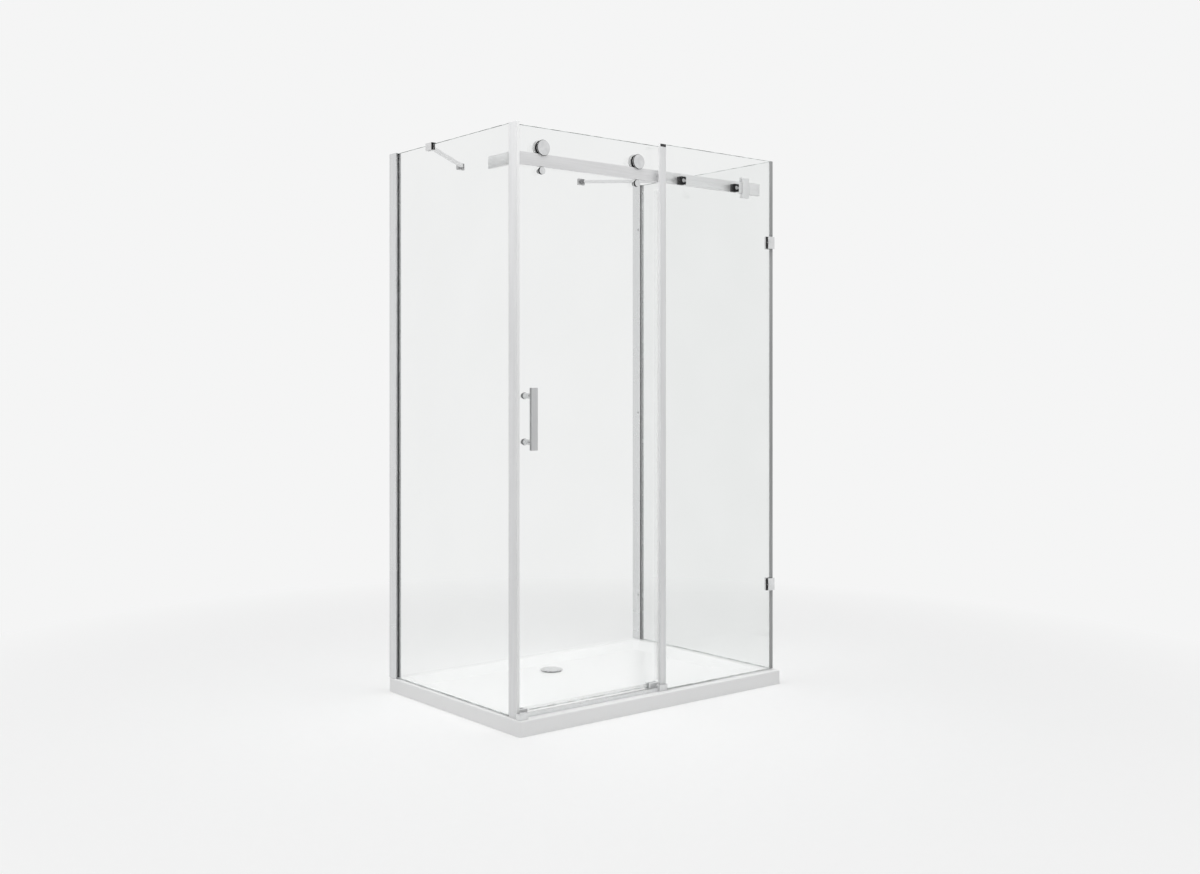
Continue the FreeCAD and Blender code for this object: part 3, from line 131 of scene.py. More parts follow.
def let_light_through(nodes, links, shader, shade):
    """Lamps shine through the piece, dimmed by shade, instead of leaving a black shadow."""
    path = nodes.new("ShaderNodeLightPath")
    clear = nodes.new("ShaderNodeBsdfTransparent")
    clear.inputs["Color"].default_value = (*shade, 1)
    either = nodes.new("ShaderNodeMixShader")
    links.new(path.outputs["Is Shadow Ray"], either.inputs["Fac"])
    links.new(shader.outputs["BSDF"], either.inputs[1])
    links.new(clear.outputs["BSDF"], either.inputs[2])
    links.new(either.outputs["Shader"], nodes["Material Output"].inputs["Surface"])


def toughened_glass():
    material, nodes, links, shader = new_material("toughened_glass")
    set_shader(shader, Transmission_Weight=1.0, IOR=1.46)
    film = object_noise(nodes, links, scale=3.5, detail=4)
    links.new(tint(nodes, links, film.outputs["Fac"], (0.932, 0.940, 0.936), (0.944, 0.951, 0.948)),
              shader.inputs["Base Color"])
    links.new(spread(nodes, links, film.outputs["Fac"], 0.0, 0.012), shader.inputs["Roughness"])
    let_light_through(nodes, links, shader, (0.995, 0.998, 0.996))
    return material


def white_acrylic():
    material, nodes, links, shader = new_material("white_acrylic")
    set_shader(shader, IOR=1.49, Coat_Weight=0.25, Coat_Roughness=0.12)
    cloud = object_noise(nodes, links, scale=5, detail=5)
    skin = object_noise(nodes, links, scale=420, detail=2)
    white = tint(nodes, links, cloud.outputs["Fac"], (0.890, 0.891, 0.892), (0.897, 0.898, 0.898),
                 0.3, 0.7)
    links.new(white, shader.inputs["Base Color"])
    gloss = spread(nodes, links, cloud.outputs["Fac"], 0.30, 0.33, 0.25, 0.75)
    links.new(gloss, shader.inputs["Roughness"])
    relief(nodes, links, skin.outputs["Fac"], shader, 0.06)
    return material


def brushed(name, dark, light, stretch, rough, strength=0.05, scale=90, metal=1.0):
    """Metal with a fine grain drawn out along its length."""
    material, nodes, links, shader = new_material(name)
    set_shader(shader, Metallic=metal)
    grain = object_noise(nodes, links, stretch, scale, 4)
    cloud = object_noise(nodes, links, scale=9, detail=3)
    links.new(tint(nodes, links, grain.outputs["Fac"], dark, light), shader.inputs["Base Color"])
    links.new(spread(nodes, links, cloud.outputs["Fac"], *rough), shader.inputs["Roughness"])
    relief(nodes, links, grain.outputs["Fac"], shader, strength)
    return material


def satin_steel():
    return brushed("satin_steel", (0.71, 0.71, 0.715), (0.77, 0.77, 0.775), LEVEL_GRAIN,
                   (0.34, 0.44), metal=0.6)


def polished_chrome():
    return brushed("polished_chrome", (0.66, 0.665, 0.67), (0.74, 0.745, 0.75), EVEN,
                   (0.06, 0.16), 0.01, 60)


def bolt_steel():
    return brushed("bolt_steel", (0.40, 0.405, 0.41), (0.50, 0.505, 0.51), EVEN,
                   (0.25, 0.4), 0.05, 200)


def bright_aluminium():
    return brushed("bright_aluminium", (0.69, 0.695, 0.70), (0.75, 0.755, 0.76), UPRIGHT_GRAIN,
                   (0.22, 0.32))


def moulded(name, dark, light, rough, strength=0.15, scale=700):
    """Moulded plastic or rubber with a fine grain."""
    material, nodes, links, shader = new_material(name)
    grain = object_noise(nodes, links, scale=scale, detail=2)
    cloud = object_noise(nodes, links, scale=14, detail=4)
    links.new(tint(nodes, links, cloud.outputs["Fac"], dark, light), shader.inputs["Base Color"])
    links.new(spread(nodes, links, cloud.outputs["Fac"], *rough), shader.inputs["Roughness"])
    relief(nodes, links, grain.outputs["Fac"], shader, strength)
    return material


def grey_plastic():
    return moulded("grey_plastic", (0.78, 0.785, 0.79), (0.84, 0.845, 0.85), (0.4, 0.5))


def white_nylon():
    return moulded("white_nylon", (0.70, 0.70, 0.69), (0.76, 0.76, 0.75), (0.35, 0.45))


def black_coating():
    material = moulded("black_coating", (0.005, 0.005, 0.006), (0.010, 0.010, 0.011),
                       (0.55, 0.65), 0.1)
    set_shader(material.node_tree.nodes["Principled BSDF"], Specular_IOR_Level=0.2)
    return material


def dark_rubber():
    return moulded("dark_rubber", (0.030, 0.030, 0.032), (0.050, 0.050, 0.052), (0.6, 0.75), 0.2)


def magnet_strip():
    return moulded("magnet_strip", (0.10, 0.10, 0.105), (0.14, 0.14, 0.145), (0.5, 0.6))


def clear_vinyl():
    """Thin clear vinyl: a faint cloudy film that shows what is behind it."""
    material, nodes, links, shader = new_material("clear_vinyl")
    set_shader(shader, Alpha=0.06, IOR=1.3)
    cloud = object_noise(nodes, links, EXTRUDED, 60, 3)
    links.new(tint(nodes, links, cloud.outputs["Fac"], (0.80, 0.81, 0.81), (0.88, 0.89, 0.89)),
              shader.inputs["Base Color"])
    links.new(spread(nodes, links, cloud.outputs["Fac"], 0.15, 0.3), shader.inputs["Roughness"])
    return material


def cloudy_vinyl(name, dark, light, rough, clear):
    """Extruded vinyl that lets part of the light through, cloudy along its length."""
    material, nodes, links, shader = new_material(name)
    set_shader(shader, Transmission_Weight=clear, IOR=1.45)
    cloud = object_noise(nodes, links, EXTRUDED, 60, 3)
    links.new(tint(nodes, links, cloud.outputs["Fac"], dark, light), shader.inputs["Base Color"])
    links.new(spread(nodes, links, cloud.outputs["Fac"], *rough), shader.inputs["Roughness"])
    relief(nodes, links, cloud.outputs["Fac"], shader, 0.05)
    return material


def frosted_vinyl():
    return cloudy_vinyl("frosted_vinyl", (0.84, 0.845, 0.85), (0.90, 0.905, 0.91),
                        (0.35, 0.5), 0.05)


def white_vinyl():
    return moulded("white_vinyl", (0.90, 0.905, 0.905), (0.93, 0.935, 0.935), (0.4, 0.5), 0.05)


def smoke_vinyl():
    return cloudy_vinyl("smoke_vinyl", (0.35, 0.36, 0.36), (0.42, 0.43, 0.43), (0.3, 0.45), 0.1)


def grey_rubber():
    return moulded("grey_rubber", (0.50, 0.505, 0.51), (0.58, 0.585, 0.59), (0.5, 0.6), 0.1)


def film_backing():
    """The grey film between the bracket and the glass."""
    return moulded("film_backing", (0.58, 0.58, 0.585), (0.63, 0.63, 0.635), (0.4, 0.5), 0.05)


def painted_glass_edge(name, dark, light):
    """The ground edge of a panel, with painted shade and painted light in streaks that stand in for
    light kept in the body of the glass.
    """
    material, nodes, links, shader = new_material(name)
    set_shader(shader, IOR=1.46)
    painted_streak = object_noise(nodes, links, EVEN, 22, 5)
    links.new(tint(nodes, links, painted_streak.outputs["Fac"], dark, light, 0.42, 0.6),
              shader.inputs["Base Color"])
    links.new(spread(nodes, links, painted_streak.outputs["Fac"], 0.2, 0.35), shader.inputs["Roughness"])
    return material


def dull_steel():
    return brushed("dull_steel", (0.42, 0.42, 0.425), (0.50, 0.50, 0.505), EVEN,
                   (0.35, 0.45), metal=0.6)


def black_trim_and_painted_shade():
    """Painted shade: black for the turned sides of the rollers that lie in shade, also used for the
    other dark trim.
    """
    return moulded("black_trim_and_painted_shade", (0.020, 0.020, 0.021), (0.032, 0.032, 0.034),
                   (0.4, 0.5), 0.05, 300)


def brushed_chrome():
    return brushed("brushed_chrome", (0.55, 0.555, 0.56), (0.60, 0.605, 0.61), HANDLE_GRAIN,
                   (0.30, 0.38), 0.03, metal=0.5)


FINISHES = {
    "glass": toughened_glass(), "tray_acrylic": white_acrylic(), "satin_steel": satin_steel(),
    "chrome": polished_chrome(), "bolt_steel": bolt_steel(), "profile_aluminium": bright_aluminium(),
    "grey_plastic": grey_plastic(), "white_nylon": white_nylon(), "black_coated": black_coating(),
    "dark_rubber": dark_rubber(), "clear_seal": clear_vinyl(), "frosted_seal": frosted_vinyl(),
    "corner_trim": smoke_vinyl(), "magnet_strip": magnet_strip(),
}
# Painted shade and painted light: dark and light streaks on the top and foot edges of the glass stand
# in for light in the body of the glass.
TOP_EDGE_PAINTED_SHADE = painted_glass_edge("glass_top_edge_painted_shade", (0.035, 0.055, 0.050), (0.60, 0.65, 0.63))
FOOT_EDGE_PAINTED_SHADE = painted_glass_edge("glass_foot_edge_painted_shade", (0.40, 0.43, 0.42), (0.74, 0.78, 0.77))
# The first finish here is black that paints the shade on the rollers' sloping sides and in the wheel
# grooves.
BLACK_TRIM_AND_PAINTED_SHADE, PALE_GASKET, WHITE_LINER = black_trim_and_painted_shade(), grey_rubber(), white_vinyl()
SLOTS = {entry["node"]: entry["material_slot"] for entry in frame["record"]["subparts"]}


def finish_frame():
    """Each node of the frame takes the finish of its slot in the record."""
    for node, slot in SLOTS.items():
        mesh = frame["nodes"][node].data
        mesh.materials.clear()
        mesh.materials.append(FINISHES[slot])


def two_tone(node, finish, chosen):
    """The faces of a node that chosen picks out take a second finish."""
    mesh = frame["nodes"][node].data
    mesh.materials.append(finish)
    for face in mesh.polygons:
        if chosen(face.center, face.normal):
            face.material_index = 1


finish_frame()
glass_middle = sum(corner.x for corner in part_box("left_return_glass")) / 2
two_tone("profile_gaskets", PALE_GASKET, lambda at, way: abs(at.x) > abs(glass_middle))


# ---------------------------------------------------------------- making pieces

TOWARDS = {"-y": Matrix.Rotation(math.radians(90), 4, "X"),
           "+y": Matrix.Rotation(math.radians(-90), 4, "X"), "+z": Matrix.Identity(4)}
MM = 0.001

# Sizes in millimetres
APART = 12
TREAD_RADIUS = 20
PAINTED_EDGE_REACH = 1.2
KNUCKLE_FROM_WALL = 8.4
DARK_TOP_LENGTH, LIP_FROM_GLASS = 10, 0.6
# A face that touches glass looks dark through it, so the film and the seals stand this far clear.
FILM_CLEARANCE, SEAL_CLEARANCE = 0.15, 0.1


def object_from(name, bm):
    """Turns the working mesh into an object at the origin, smooth but for its sharp edges."""
    mesh = bpy.data.meshes.new(name)
    bmesh.ops.recalc_face_normals(bm, faces=bm.faces)
    bm.to_mesh(mesh)
    bm.free()
    mesh.shade_smooth()
    mesh.set_sharp_from_angle(angle=math.radians(32))
    piece = bpy.data.objects.new(name, mesh)
    bpy.context.scene.collection.objects.link(piece)
    return piece


def dress(name, bm, *nodes, finish=None, more=()):
    """Stands the finished mesh in for the frame's nodes, on their body and in their slot's finish."""
    piece = object_from(name, bm)
    piece.data.materials.append(finish or FINISHES[SLOTS[nodes[0]]])
    for extra in more:
        piece.data.materials.append(extra)
    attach(piece, frame["nodes"][nodes[0]]["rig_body"])
    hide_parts(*nodes)
    return piece


def clusters(node, axis=0):
    """The boxes of a node's separate solids, where they lie apart along an axis."""
    points = sorted((v.co.copy() for v in frame["nodes"][node].data.vertices), key=lambda co: co[axis])
    groups = [[points[0]]]
    for before, point in zip(points, points[1:]):
        if point[axis] - before[axis] > APART * MM:
            groups.append([])
        groups[-1].append(point)
    return [(Vector([min(p[i] for p in g) for i in range(3)]),
             Vector([max(p[i] for p in g) for i in range(3)])) for g in groups]


def merge_into(bm, part):
    """Adds a part's mesh to the working mesh."""
    mesh = bpy.data.meshes.new("part")
    part.to_mesh(mesh)
    part.free()
    bm.from_mesh(mesh)
    bpy.data.meshes.remove(mesh)


def bar(bm, low, high, round_by, segments=3):
    """A bar between two corners with all its edges rounded."""
    part = bmesh.new()
    bmesh.ops.create_cube(part, size=1)
    bmesh.ops.scale(part, verts=part.verts, vec=high - low)
    bmesh.ops.translate(part, verts=part.verts, vec=(low + high) / 2)
    bmesh.ops.bevel(part, geom=part.edges[:], offset=round_by, segments=segments, affect="EDGES",
                    profile=0.5, material=-1)
    merge_into(bm, part)


def softened(name, node, round_by=0.6, segments=2, finish=None, more=(), chosen=None, cuts=(),
             shortest=0, ease=0):
    """A node's own shape with its sharp edges rounded off, sizes in mm.

    chosen gives the finish of each face, cuts are planes that split faces before that, edges not
    longer than shortest stay sharp, and ease draws the whole surface in.
    """
    bm = bmesh.new()
    bm.from_mesh(frame["nodes"][node].data)
    for face in bm.faces:
        face.material_index = 0
    bmesh.ops.remove_doubles(bm, verts=bm.verts, dist=1e-6)
    bmesh.ops.dissolve_limit(bm, angle_limit=math.radians(2), verts=bm.verts, edges=bm.edges)
    sharp = [edge for edge in bm.edges if len(edge.link_faces) == 2
             and edge.calc_face_angle() > math.radians(40) and edge.calc_length() > shortest * MM]
    bmesh.ops.bevel(bm, geom=sharp, offset=round_by * MM, segments=segments, affect="EDGES",
                    profile=0.5, material=-1, clamp_overlap=True)
    for point, way in cuts:
        bmesh.ops.bisect_plane(bm, geom=bm.verts[:] + bm.edges[:] + bm.faces[:],
                               plane_co=point, plane_no=way)
    if ease:
        bm.normal_update()
        shrink = [(vert, vert.normal * vert.calc_shell_factor() * ease * MM) for vert in bm.verts]
        for vert, move in shrink:
            vert.co -= move
    if chosen:
        for face in bm.faces:
            face.material_index = chosen(face.calc_center_median(), face.normal)
    return dress(name, bm, node, finish=finish, more=more)


def turned(bm, outline, centre, towards, steps=72, dark_trim_and_shade_band=None):
    """Spins an outline of (radius, height) in mm round an axis.

    Faces outside the band's radius and between its two heights take the second finish, the black that
    is painted shade on the rollers.
    """
    part = bmesh.new()
    verts = [part.verts.new((radius * MM, 0, height * MM)) for radius, height in outline]
    edges = [part.edges.new((verts[i], verts[(i + 1) % len(verts)])) for i in range(len(verts))
             if outline[i][0] or outline[(i + 1) % len(verts)][0]]
    bmesh.ops.spin(part, geom=verts + edges, cent=(0, 0, 0), axis=(0, 0, 1), dvec=(0, 0, 0),
                   angle=math.tau, steps=steps, use_merge=True)
    bmesh.ops.remove_doubles(part, verts=part.verts, dist=1e-6)
    if dark_trim_and_shade_band:
        inner, low, high = dark_trim_and_shade_band
        for face in part.faces:
            reach = min(math.hypot(v.co.x, v.co.y) for v in face.verts) / MM
            height = face.calc_center_median().z / MM
            if reach > inner - 0.05 and low <= height <= high:
                face.material_index = 1
    part.transform(Matrix.Translation(centre) @ TOWARDS[towards])
    merge_into(bm, part)


def socket_head(bm, radius, height, socket, centre, towards, round_by=0.6):
    """A round screw head with a six-sided socket; sizes in mm, base at centre."""
    part = bmesh.new()
    bmesh.ops.create_cone(part, cap_ends=True, segments=48, radius1=radius * MM, radius2=radius * MM,
                          depth=height * MM)
    bmesh.ops.translate(part, verts=part.verts, vec=(0, 0, height * MM / 2))
    rim = [e for e in part.edges if all(v.co.z > height * MM * 0.9 for v in e.verts)]
    bmesh.ops.bevel(part, geom=rim, offset=round_by * MM, segments=3, affect="EDGES", profile=0.5,
                    material=-1)
    top = max(part.faces, key=lambda f: (f.calc_center_median().z, f.calc_area()))
    bmesh.ops.inset_individual(part, faces=[top], depth=0,
                               thickness=(radius - round_by - socket * 1.1) * MM)
    for vert in top.verts:
        angle = math.atan2(vert.co.y, vert.co.x) % math.radians(60) - math.radians(30)
        reach = socket * MM * math.cos(math.radians(30)) / math.cos(angle)
        length = math.hypot(vert.co.x, vert.co.y)
        vert.co.x, vert.co.y = vert.co.x * reach / length, vert.co.y * reach / length
    well = bmesh.ops.extrude_discrete_faces(part, faces=[top])["faces"]
    bmesh.ops.translate(part, verts=well[0].verts, vec=(0, 0, -min(height * 0.7, socket) * MM))
    part.transform(Matrix.Translation(centre) @ TOWARDS[towards])
    merge_into(bm, part)


def middle(box):
    return (box[0] + box[1]) / 2


# ---------------------------------------------------------------- rail and its fittings

def rail_and_ends():
    """The rail's pieces with rounded edges, and a film bar that stands clear of the glass."""
    for name, node, round_by in (
            ("rail", "rail_bar", 0.8), ("corner_bracket", "rail_corner_bracket", 0.8),
            ("end_sleeve", "rail_end_sleeve", 1.2), ("stopper", "rail_stopper", 1.6),
            ("connector_plates", "rail_clamp_plates", 1.2),
            ("connector_spacers", "rail_spacers", 0.8)):
        softened(name, node, round_by, 3)
    softened("stopper_pad", "stopper_bumper", 0.8, 3, finish=PALE_GASKET)
    low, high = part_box("bracket_pad")
    film = bmesh.new()
    bar(film, low + Vector((FILM_CLEARANCE * MM, 0, 0)), high, 0.2 * MM, 2)
    dress("bracket_film", film, "bracket_pad", finish=film_backing())


def connector_bolts():
    """Round bolt heads with a socket and a flat tongue to the right, in front of the black plates."""
    head_radius, head_height, socket, shank_radius = 6.8, 2.2, 2.6, 3.9
    tongue_start, tongue_half_height, tongue_proud, sunk = 4, 3.6, 0.9, 0.3
    bm = bmesh.new()
    for (low, high), plate in zip(clusters("rail_bolts"), clusters("rail_clamp_plates")):
        centre = middle((low, high))
        centre.y = low.y + head_height * MM
        socket_head(bm, head_radius, head_height, socket, centre, "-y")
        shank = (high.y - centre.y) / MM
        turned(bm, [(0, 0), (shank_radius, 0), (shank_radius, shank), (0, shank)], centre, "+y", 32)
        front, right = plate[0].y, plate[1].x
        bar(bm, Vector((centre.x + tongue_start * MM, front - tongue_proud * MM,
                        centre.z - tongue_half_height * MM)),
            Vector((right - sunk * MM, front + sunk * MM, centre.z + tongue_half_height * MM)),
            0.4 * MM)
    dress("connector_bolts", bm, "rail_bolts")


# ---------------------------------------------------------------- rollers

def roller_faces():
    """Plain caps with painted shade on their sloping side, and the pins that end just under them."""
    caps, pins = bmesh.new(), bmesh.new()
    pin_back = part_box("roller_axles")[1].y
    for low, high in clusters("roller_caps"):
        centre = middle((low, high))
        centre.y = high.y
        radius, thick = (high.x - low.x) / 2 / MM, (high.y - low.y) / MM
        outline = [(0, 0), (radius - 0.3, 0), (radius, 0.3), (radius - 1.2, thick - 0.5),
                   (radius - 1.5, thick - 0.15), (radius - 2.2, thick - 0.03), (0, thick)]
        # The sloping side of each cap takes painted shade.
        turned(caps, outline, centre, "-y", 96, (radius - 1.6, 0, thick - 0.3))
        length = (pin_back - high.y) / MM
        pin = [(0, -1), (4.9, -1), (4.9, length - 0.6), (4.3, length), (0, length)]
        turned(pins, pin, centre, "+y", 32)
    dress("roller_faces", caps, "roller_caps", more=[BLACK_TRIM_AND_PAINTED_SHADE])
    dress("roller_pins", pins, "roller_axles")


def grooved_wheel(side):
    """A nylon wheel with rounded flanges; its tread and the groove's back side are painted black as
    the shade in the groove.
    """
    node, tread = f"roller_wheel_{side}", TREAD_RADIUS
    low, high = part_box(node)
    bm = bmesh.new()
    radius, half = (high.x - low.x) / 2 / MM, (high.y - low.y) / 2 / MM
    inner = half - 2
    outline = [(11, -half), (radius - 0.7, -half), (radius, -half + 0.5), (radius, -inner - 0.5),
               (radius - 0.6, -inner), (tread, -inner), (tread, inner), (radius - 0.6, inner),
               (radius, inner + 0.5), (radius, half - 0.5), (radius - 0.7, half), (11, half)]
    # The tread and the groove's back side take painted shade.
    turned(bm, outline, middle((low, high)), "+y", 96, (tread, 0, inner + 0.1))
    dress(f"grooved_wheel_{side}", bm, node, more=[BLACK_TRIM_AND_PAINTED_SHADE])


def lift_stop_discs():
    """Flat discs with a dark rim, each on a thinner neck."""
    disc, neck_radius = 10, 8
    bm = bmesh.new()
    for low, high in clusters("lift_stops"):
        centre = middle((low, high))
        centre.y = low.y
        radius, deep = (high.x - low.x) / 2 / MM, (high.y - low.y) / MM
        outline = [(0, 0), (radius - 1.2, 0.1), (radius - 0.4, 0.35), (radius, 1.0),
                   (radius, disc - 0.6), (radius - 0.6, disc), (neck_radius, disc),
                   (neck_radius, deep), (0, deep)]
        turned(bm, outline, centre, "+y", 72, (radius - 0.5, 0.7, disc - 0.2))
    dress("lift_stop_discs", bm, "lift_stops", more=[BLACK_TRIM_AND_PAINTED_SHADE])


def washers():
    """Washers with rounded rims."""
    bore = 5.2
    bm = bmesh.new()
    for low, high in clusters("roller_washers"):
        centre = middle((low, high))
        centre.y = low.y
        radius, thick = (high.x - low.x) / 2 / MM, (high.y - low.y) / MM
        outline = [(bore, 0), (radius - 0.7, 0), (radius, 0.7), (radius, thick - 0.5),
                   (radius - 0.5, thick), (bore, thick)]
        turned(bm, outline, centre, "+y", 96)
    dress("roller_discs", bm, "roller_washers")


def inside_heads():
    """Socket heads and nuts on the inner side of the door."""
    glass_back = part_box("door_glass")[1].y
    for node, name, socket, shank_radius in (("roller_nuts", "roller_nut_heads", 5, 0),
                                             ("lift_stop_screws", "lift_stop_heads", 2.5, 3.8),
                                             ("handle_screws", "handle_screw_heads", 3, 2.8)):
        bm = bmesh.new()
        for low, high in clusters(node, axis=2 if node == "handle_screws" else 0):
            centre = middle((low, high))
            centre.y = glass_back
            radius, head = (high.x - low.x) / 2 / MM, (high.y - glass_back) / MM
            socket_head(bm, radius, head, socket, centre, "+y", min(0.8, head / 3))
            shank = (glass_back - low.y) / MM
            if shank > 1:
                pin = [(0, 0), (shank_radius, 0), (shank_radius, shank), (0, shank)]
                turned(bm, pin, centre, "-y", 24)
        dress(name, bm, node)


# ---------------------------------------------------------------- clamps, braces, profiles, guides

def plain_fittings():
    """Fittings that keep their own shape and only have their edges rounded."""
    for name, node, round_by in (
            ("clamp_outside", "clamp_outer_plates", 0.8), ("clamp_inside", "clamp_inner_plates", 0.6),
            ("left_channel", "wall_profile_left", 0.4), ("right_channel", "wall_profile_right", 0.4),
            ("adjusting_channels", "inner_profiles", 0.3),
            ("channel_caps", "profile_end_caps", 0.4), ("door_sill", "threshold_bar", 0.5),
            ("glass_shoes", "fixed_glass_foot", 0.6), ("corner_guide_block", "corner_guide", 0.8),
            ("middle_guide_block", "middle_guide", 0.8)):
        softened(name, node, round_by)


def panels():
    """Glass panels with a ground arris; the top and foot edges carry painted shade and painted light
    in place of the body of the glass.

    Only the long edges are rounded, because rounded rims of holes throw stray light over the pane.
    """
    for name, node in (("left_pane", "left_return_glass"), ("right_pane", "right_return_glass"),
                       ("fixed_pane", "fixed_front_glass"), ("door_pane", "door_glass")):
        low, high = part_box(node)

        # Faces this close to the top or the foot take the painted edge shade and light.
        def edge(at, way, low=low, high=high):
            if at.z > high.z - PAINTED_EDGE_REACH * MM:
                return 1
            return 2 if at.z < low.z + PAINTED_EDGE_REACH * MM else 0
        softened(name, node, 1.0, 1, more=[TOP_EDGE_PAINTED_SHADE, FOOT_EDGE_PAINTED_SHADE], chosen=edge, shortest=200)


def braces():
    """Grips with a dark front, plates with a dark knuckle where the rod ends."""
    softened("brace_grips", "brace_clamps", 1.0, more=[FINISHES["black_coated"]],
             chosen=lambda at, way: int(way.y < -0.7))
    plate_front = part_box("brace_wall_plates")[1].y - KNUCKLE_FROM_WALL * MM
    softened("brace_feet", "brace_wall_plates", 0.6, finish=dull_steel(),
             more=[FINISHES["magnet_strip"]], chosen=lambda at, way: int(at.y < plate_front))
    softened("brace_rods", "brace_bars", 1.0)


def middle_strip():
    """The seal on the fixed panel's edge: a clear lip towards the door and a dark top end."""
    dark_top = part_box("fixed_edge_seal")[1].z - DARK_TOP_LENGTH * MM
    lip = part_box("fixed_front_glass")[1].y + LIP_FROM_GLASS * MM

    def part(at, way):
        if at.y > lip:
            return 2
        return int(at.z > dark_top and way.x > -0.5)
    softened("middle_strip", "fixed_edge_seal", 0.3, more=[BLACK_TRIM_AND_PAINTED_SHADE, FINISHES["clear_seal"]],
             chosen=part, cuts=[((0, 0, dark_top), (0, 0, 1)), ((0, lip, 0), (0, 1, 0))],
             ease=SEAL_CLEARANCE)


def corner_strips():
    """The seals on both front corners, a hair clear of the glass; the left one has a white front."""
    softened("left_post", "left_corner_seal", 0.3, more=[WHITE_LINER],
             chosen=lambda at, way: int(way.y < -0.9), ease=SEAL_CLEARANCE)
    softened("right_post", "right_corner_seal", 0.3, ease=SEAL_CLEARANCE)


# ---------------------------------------------------------------- handle

def handle():
    """A rounded pull bar on two posts, each with a dark collar at its glass end."""
    bm = bmesh.new()
    bar(bm, *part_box("handle_bar"), 1.6 * MM, 4)
    dress("pull_bar", bm, "handle_bar", finish=brushed_chrome())
    bm = bmesh.new()
    for low, high in clusters("handle_posts", axis=2):
        centre = middle((low, high))
        centre.y = high.y
        radius, long = (high.x - low.x) / 2 / MM, (high.y - low.y) / MM
        outline = [(0, 0), (radius, 0), (radius, 2.6), (radius - 0.6, 3.2), (radius - 1.6, 3.2),
                   (radius - 1.6, long), (0, long)]
        turned(bm, outline, centre, "-y", 48, (radius - 0.7, 0, 3.1))
    dress("pull_posts", bm, "handle_posts", more=[BLACK_TRIM_AND_PAINTED_SHADE])


# ---------------------------------------------------------------- tray fittings

def drain_lid():
    """A shallow domed lid on three feet."""
    foot_circle, foot_angles = 34, (90, 210, 330)
    low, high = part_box("drain_cover")
    centre = middle((low, high))
    centre.z = low.z
    radius, tall = (high.x - low.x) / 2 / MM, (high.z - low.z) / MM
    bm = bmesh.new()
    lid = tall - 3
    outline = [(0, lid), (radius - 0.8, lid), (radius, lid + 0.7), (radius - 0.2, lid + 1.4),
               (radius - 1.6, lid + 2.2), (radius * 0.7, tall - 0.3),
               (radius * 0.35, tall - 0.05), (0, tall)]
    turned(bm, outline, centre, "+z", 96)
    for angle in map(math.radians, foot_angles):
        foot = centre + Vector((math.cos(angle), math.sin(angle), 0)) * foot_circle * MM
        turned(bm, [(0, 0), (2.6, 0), (3, 0.4), (3, lid + 0.2), (0, lid + 0.2)], foot, "+z", 24)
    dress("drain_lid", bm, "drain_cover")


rail_and_ends()
connector_bolts()
roller_faces()
grooved_wheel("left")
grooved_wheel("right")
lift_stop_discs()
washers()
inside_heads()
plain_fittings()
panels()
braces()
middle_strip()
corner_strips()
handle()
drain_lid()


# ---------------------------------------------------------------- floor, world, lamps, camera

PAGE_WHITE = (0.912, 0.913, 0.913)
SKY_STRENGTH = 0.42
FLOOR_HALF_SIZE, FLOOR_DROP, FADE_SCALE = 14, 0.0008, 0.36


def studio_world():
    """Soft even light; camera, mirror and glass rays see the pale page instead."""
    world = bpy.data.worlds.new("studio")
    world.use_nodes = True
    nodes, links = world.node_tree.nodes, world.node_tree.links
    nodes.clear()
    path = nodes.new("ShaderNodeLightPath")
    sees_page = path.outputs["Is Camera Ray"]
    for ray in ("Is Glossy Ray", "Is Transmission Ray"):
        highest = nodes.new("ShaderNodeMath")
        highest.operation = "MAXIMUM"
        links.new(sees_page, highest.inputs[0])
        links.new(path.outputs[ray], highest.inputs[1])
        sees_page = highest.outputs[0]
    backgrounds = []
    for colour, strength in (((1, 1, 1), SKY_STRENGTH), (PAGE_WHITE, 1.0)):
        background = nodes.new("ShaderNodeBackground")
        background.inputs["Color"].default_value = (*colour, 1)
        background.inputs["Strength"].default_value = strength
        backgrounds.append(background.outputs[0])
    either = nodes.new("ShaderNodeMixShader")
    links.new(sees_page, either.inputs["Fac"])
    links.new(backgrounds[0], either.inputs[1])
    links.new(backgrounds[1], either.inputs[2])
    links.new(either.outputs[0], nodes.new("ShaderNodeOutputWorld").inputs["Surface"])
    bpy.context.scene.world = world


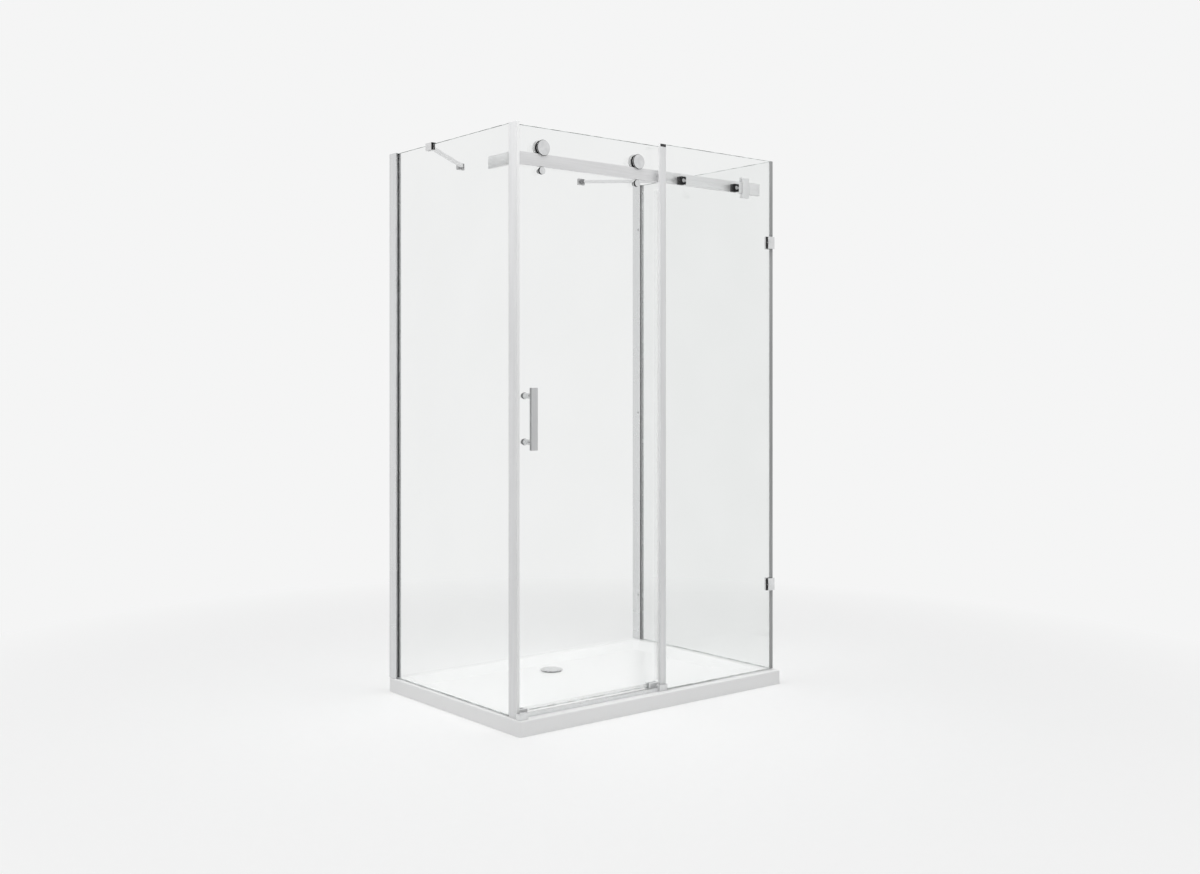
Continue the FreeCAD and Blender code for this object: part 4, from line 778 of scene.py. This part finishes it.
def page_floor():
    """A pale floor that keeps the soft shadow near the tray and fades into the page further out."""
    bm = bmesh.new()
    bmesh.ops.create_grid(bm, x_segments=8, y_segments=8, size=FLOOR_HALF_SIZE)
    bmesh.ops.translate(bm, verts=bm.verts, vec=(0, 0, -FLOOR_DROP))
    floor = object_from("floor", bm)
    material, nodes, links, shader = new_material("floor_paper")
    set_shader(shader, Roughness=0.9, Specular_IOR_Level=0.0)
    place = nodes.new("ShaderNodeTexCoord")
    ball = nodes.new("ShaderNodeTexGradient")
    ball.gradient_type = "SPHERICAL"
    mapping = nodes.new("ShaderNodeMapping")
    mapping.inputs["Scale"].default_value = (FADE_SCALE,) * 3
    links.new(place.outputs["Object"], mapping.inputs["Vector"])
    links.new(mapping.outputs["Vector"], ball.inputs["Vector"])
    grain = object_noise(nodes, links, scale=30, detail=3)
    paper = tint(nodes, links, grain.outputs["Fac"], (0.940, 0.943, 0.943), (0.948, 0.951, 0.951))
    links.new(paper, shader.inputs["Base Color"])
    page = nodes.new("ShaderNodeEmission")
    page.inputs["Color"].default_value = (*PAGE_WHITE, 1)
    either = nodes.new("ShaderNodeMixShader")
    links.new(spread(nodes, links, ball.outputs["Fac"], 0.0, 0.65, 0.0, 0.7), either.inputs["Fac"])
    links.new(page.outputs["Emission"], either.inputs[1])
    links.new(shader.outputs["BSDF"], either.inputs[2])
    links.new(either.outputs["Shader"], nodes["Material Output"].inputs["Surface"])
    floor.data.materials.append(material)


def soft_lamp(name, place, target, size, power):
    """A large square softbox that looks at target."""
    light = bpy.data.lights.new(name, "AREA")
    light.shape, light.size, light.energy = "SQUARE", size, power
    lamp = bpy.data.objects.new(name, light)
    lamp.location = place
    lamp.rotation_euler = (Vector(target) - Vector(place)).to_track_quat("-Z", "Y").to_euler()
    lamp.visible_glossy = False
    bpy.context.scene.collection.objects.link(lamp)


def photo_camera():
    """A level camera 1.1 m above the floor, to the left of the front, as in the photo."""
    camera = bpy.data.cameras.new("photo_camera")
    camera.sensor_width, camera.lens = 36, 38.44
    camera.shift_x, camera.shift_y = 0.0291, -0.0404
    holder = bpy.data.objects.new("photo_camera", camera)
    holder.location = (-2.9776, -3.6343, 1.0943)
    holder.rotation_euler = (math.radians(90), 0, math.radians(-38.34))
    bpy.context.scene.collection.objects.link(holder)
    bpy.context.scene.camera = holder


studio_world()
page_floor()
soft_lamp("overhead_softbox", (-0.6, -0.35, 4.2), (0, 0, 0.4), 3.0, 107)
photo_camera()
bpy.context.scene.view_settings.view_transform = "Standard"
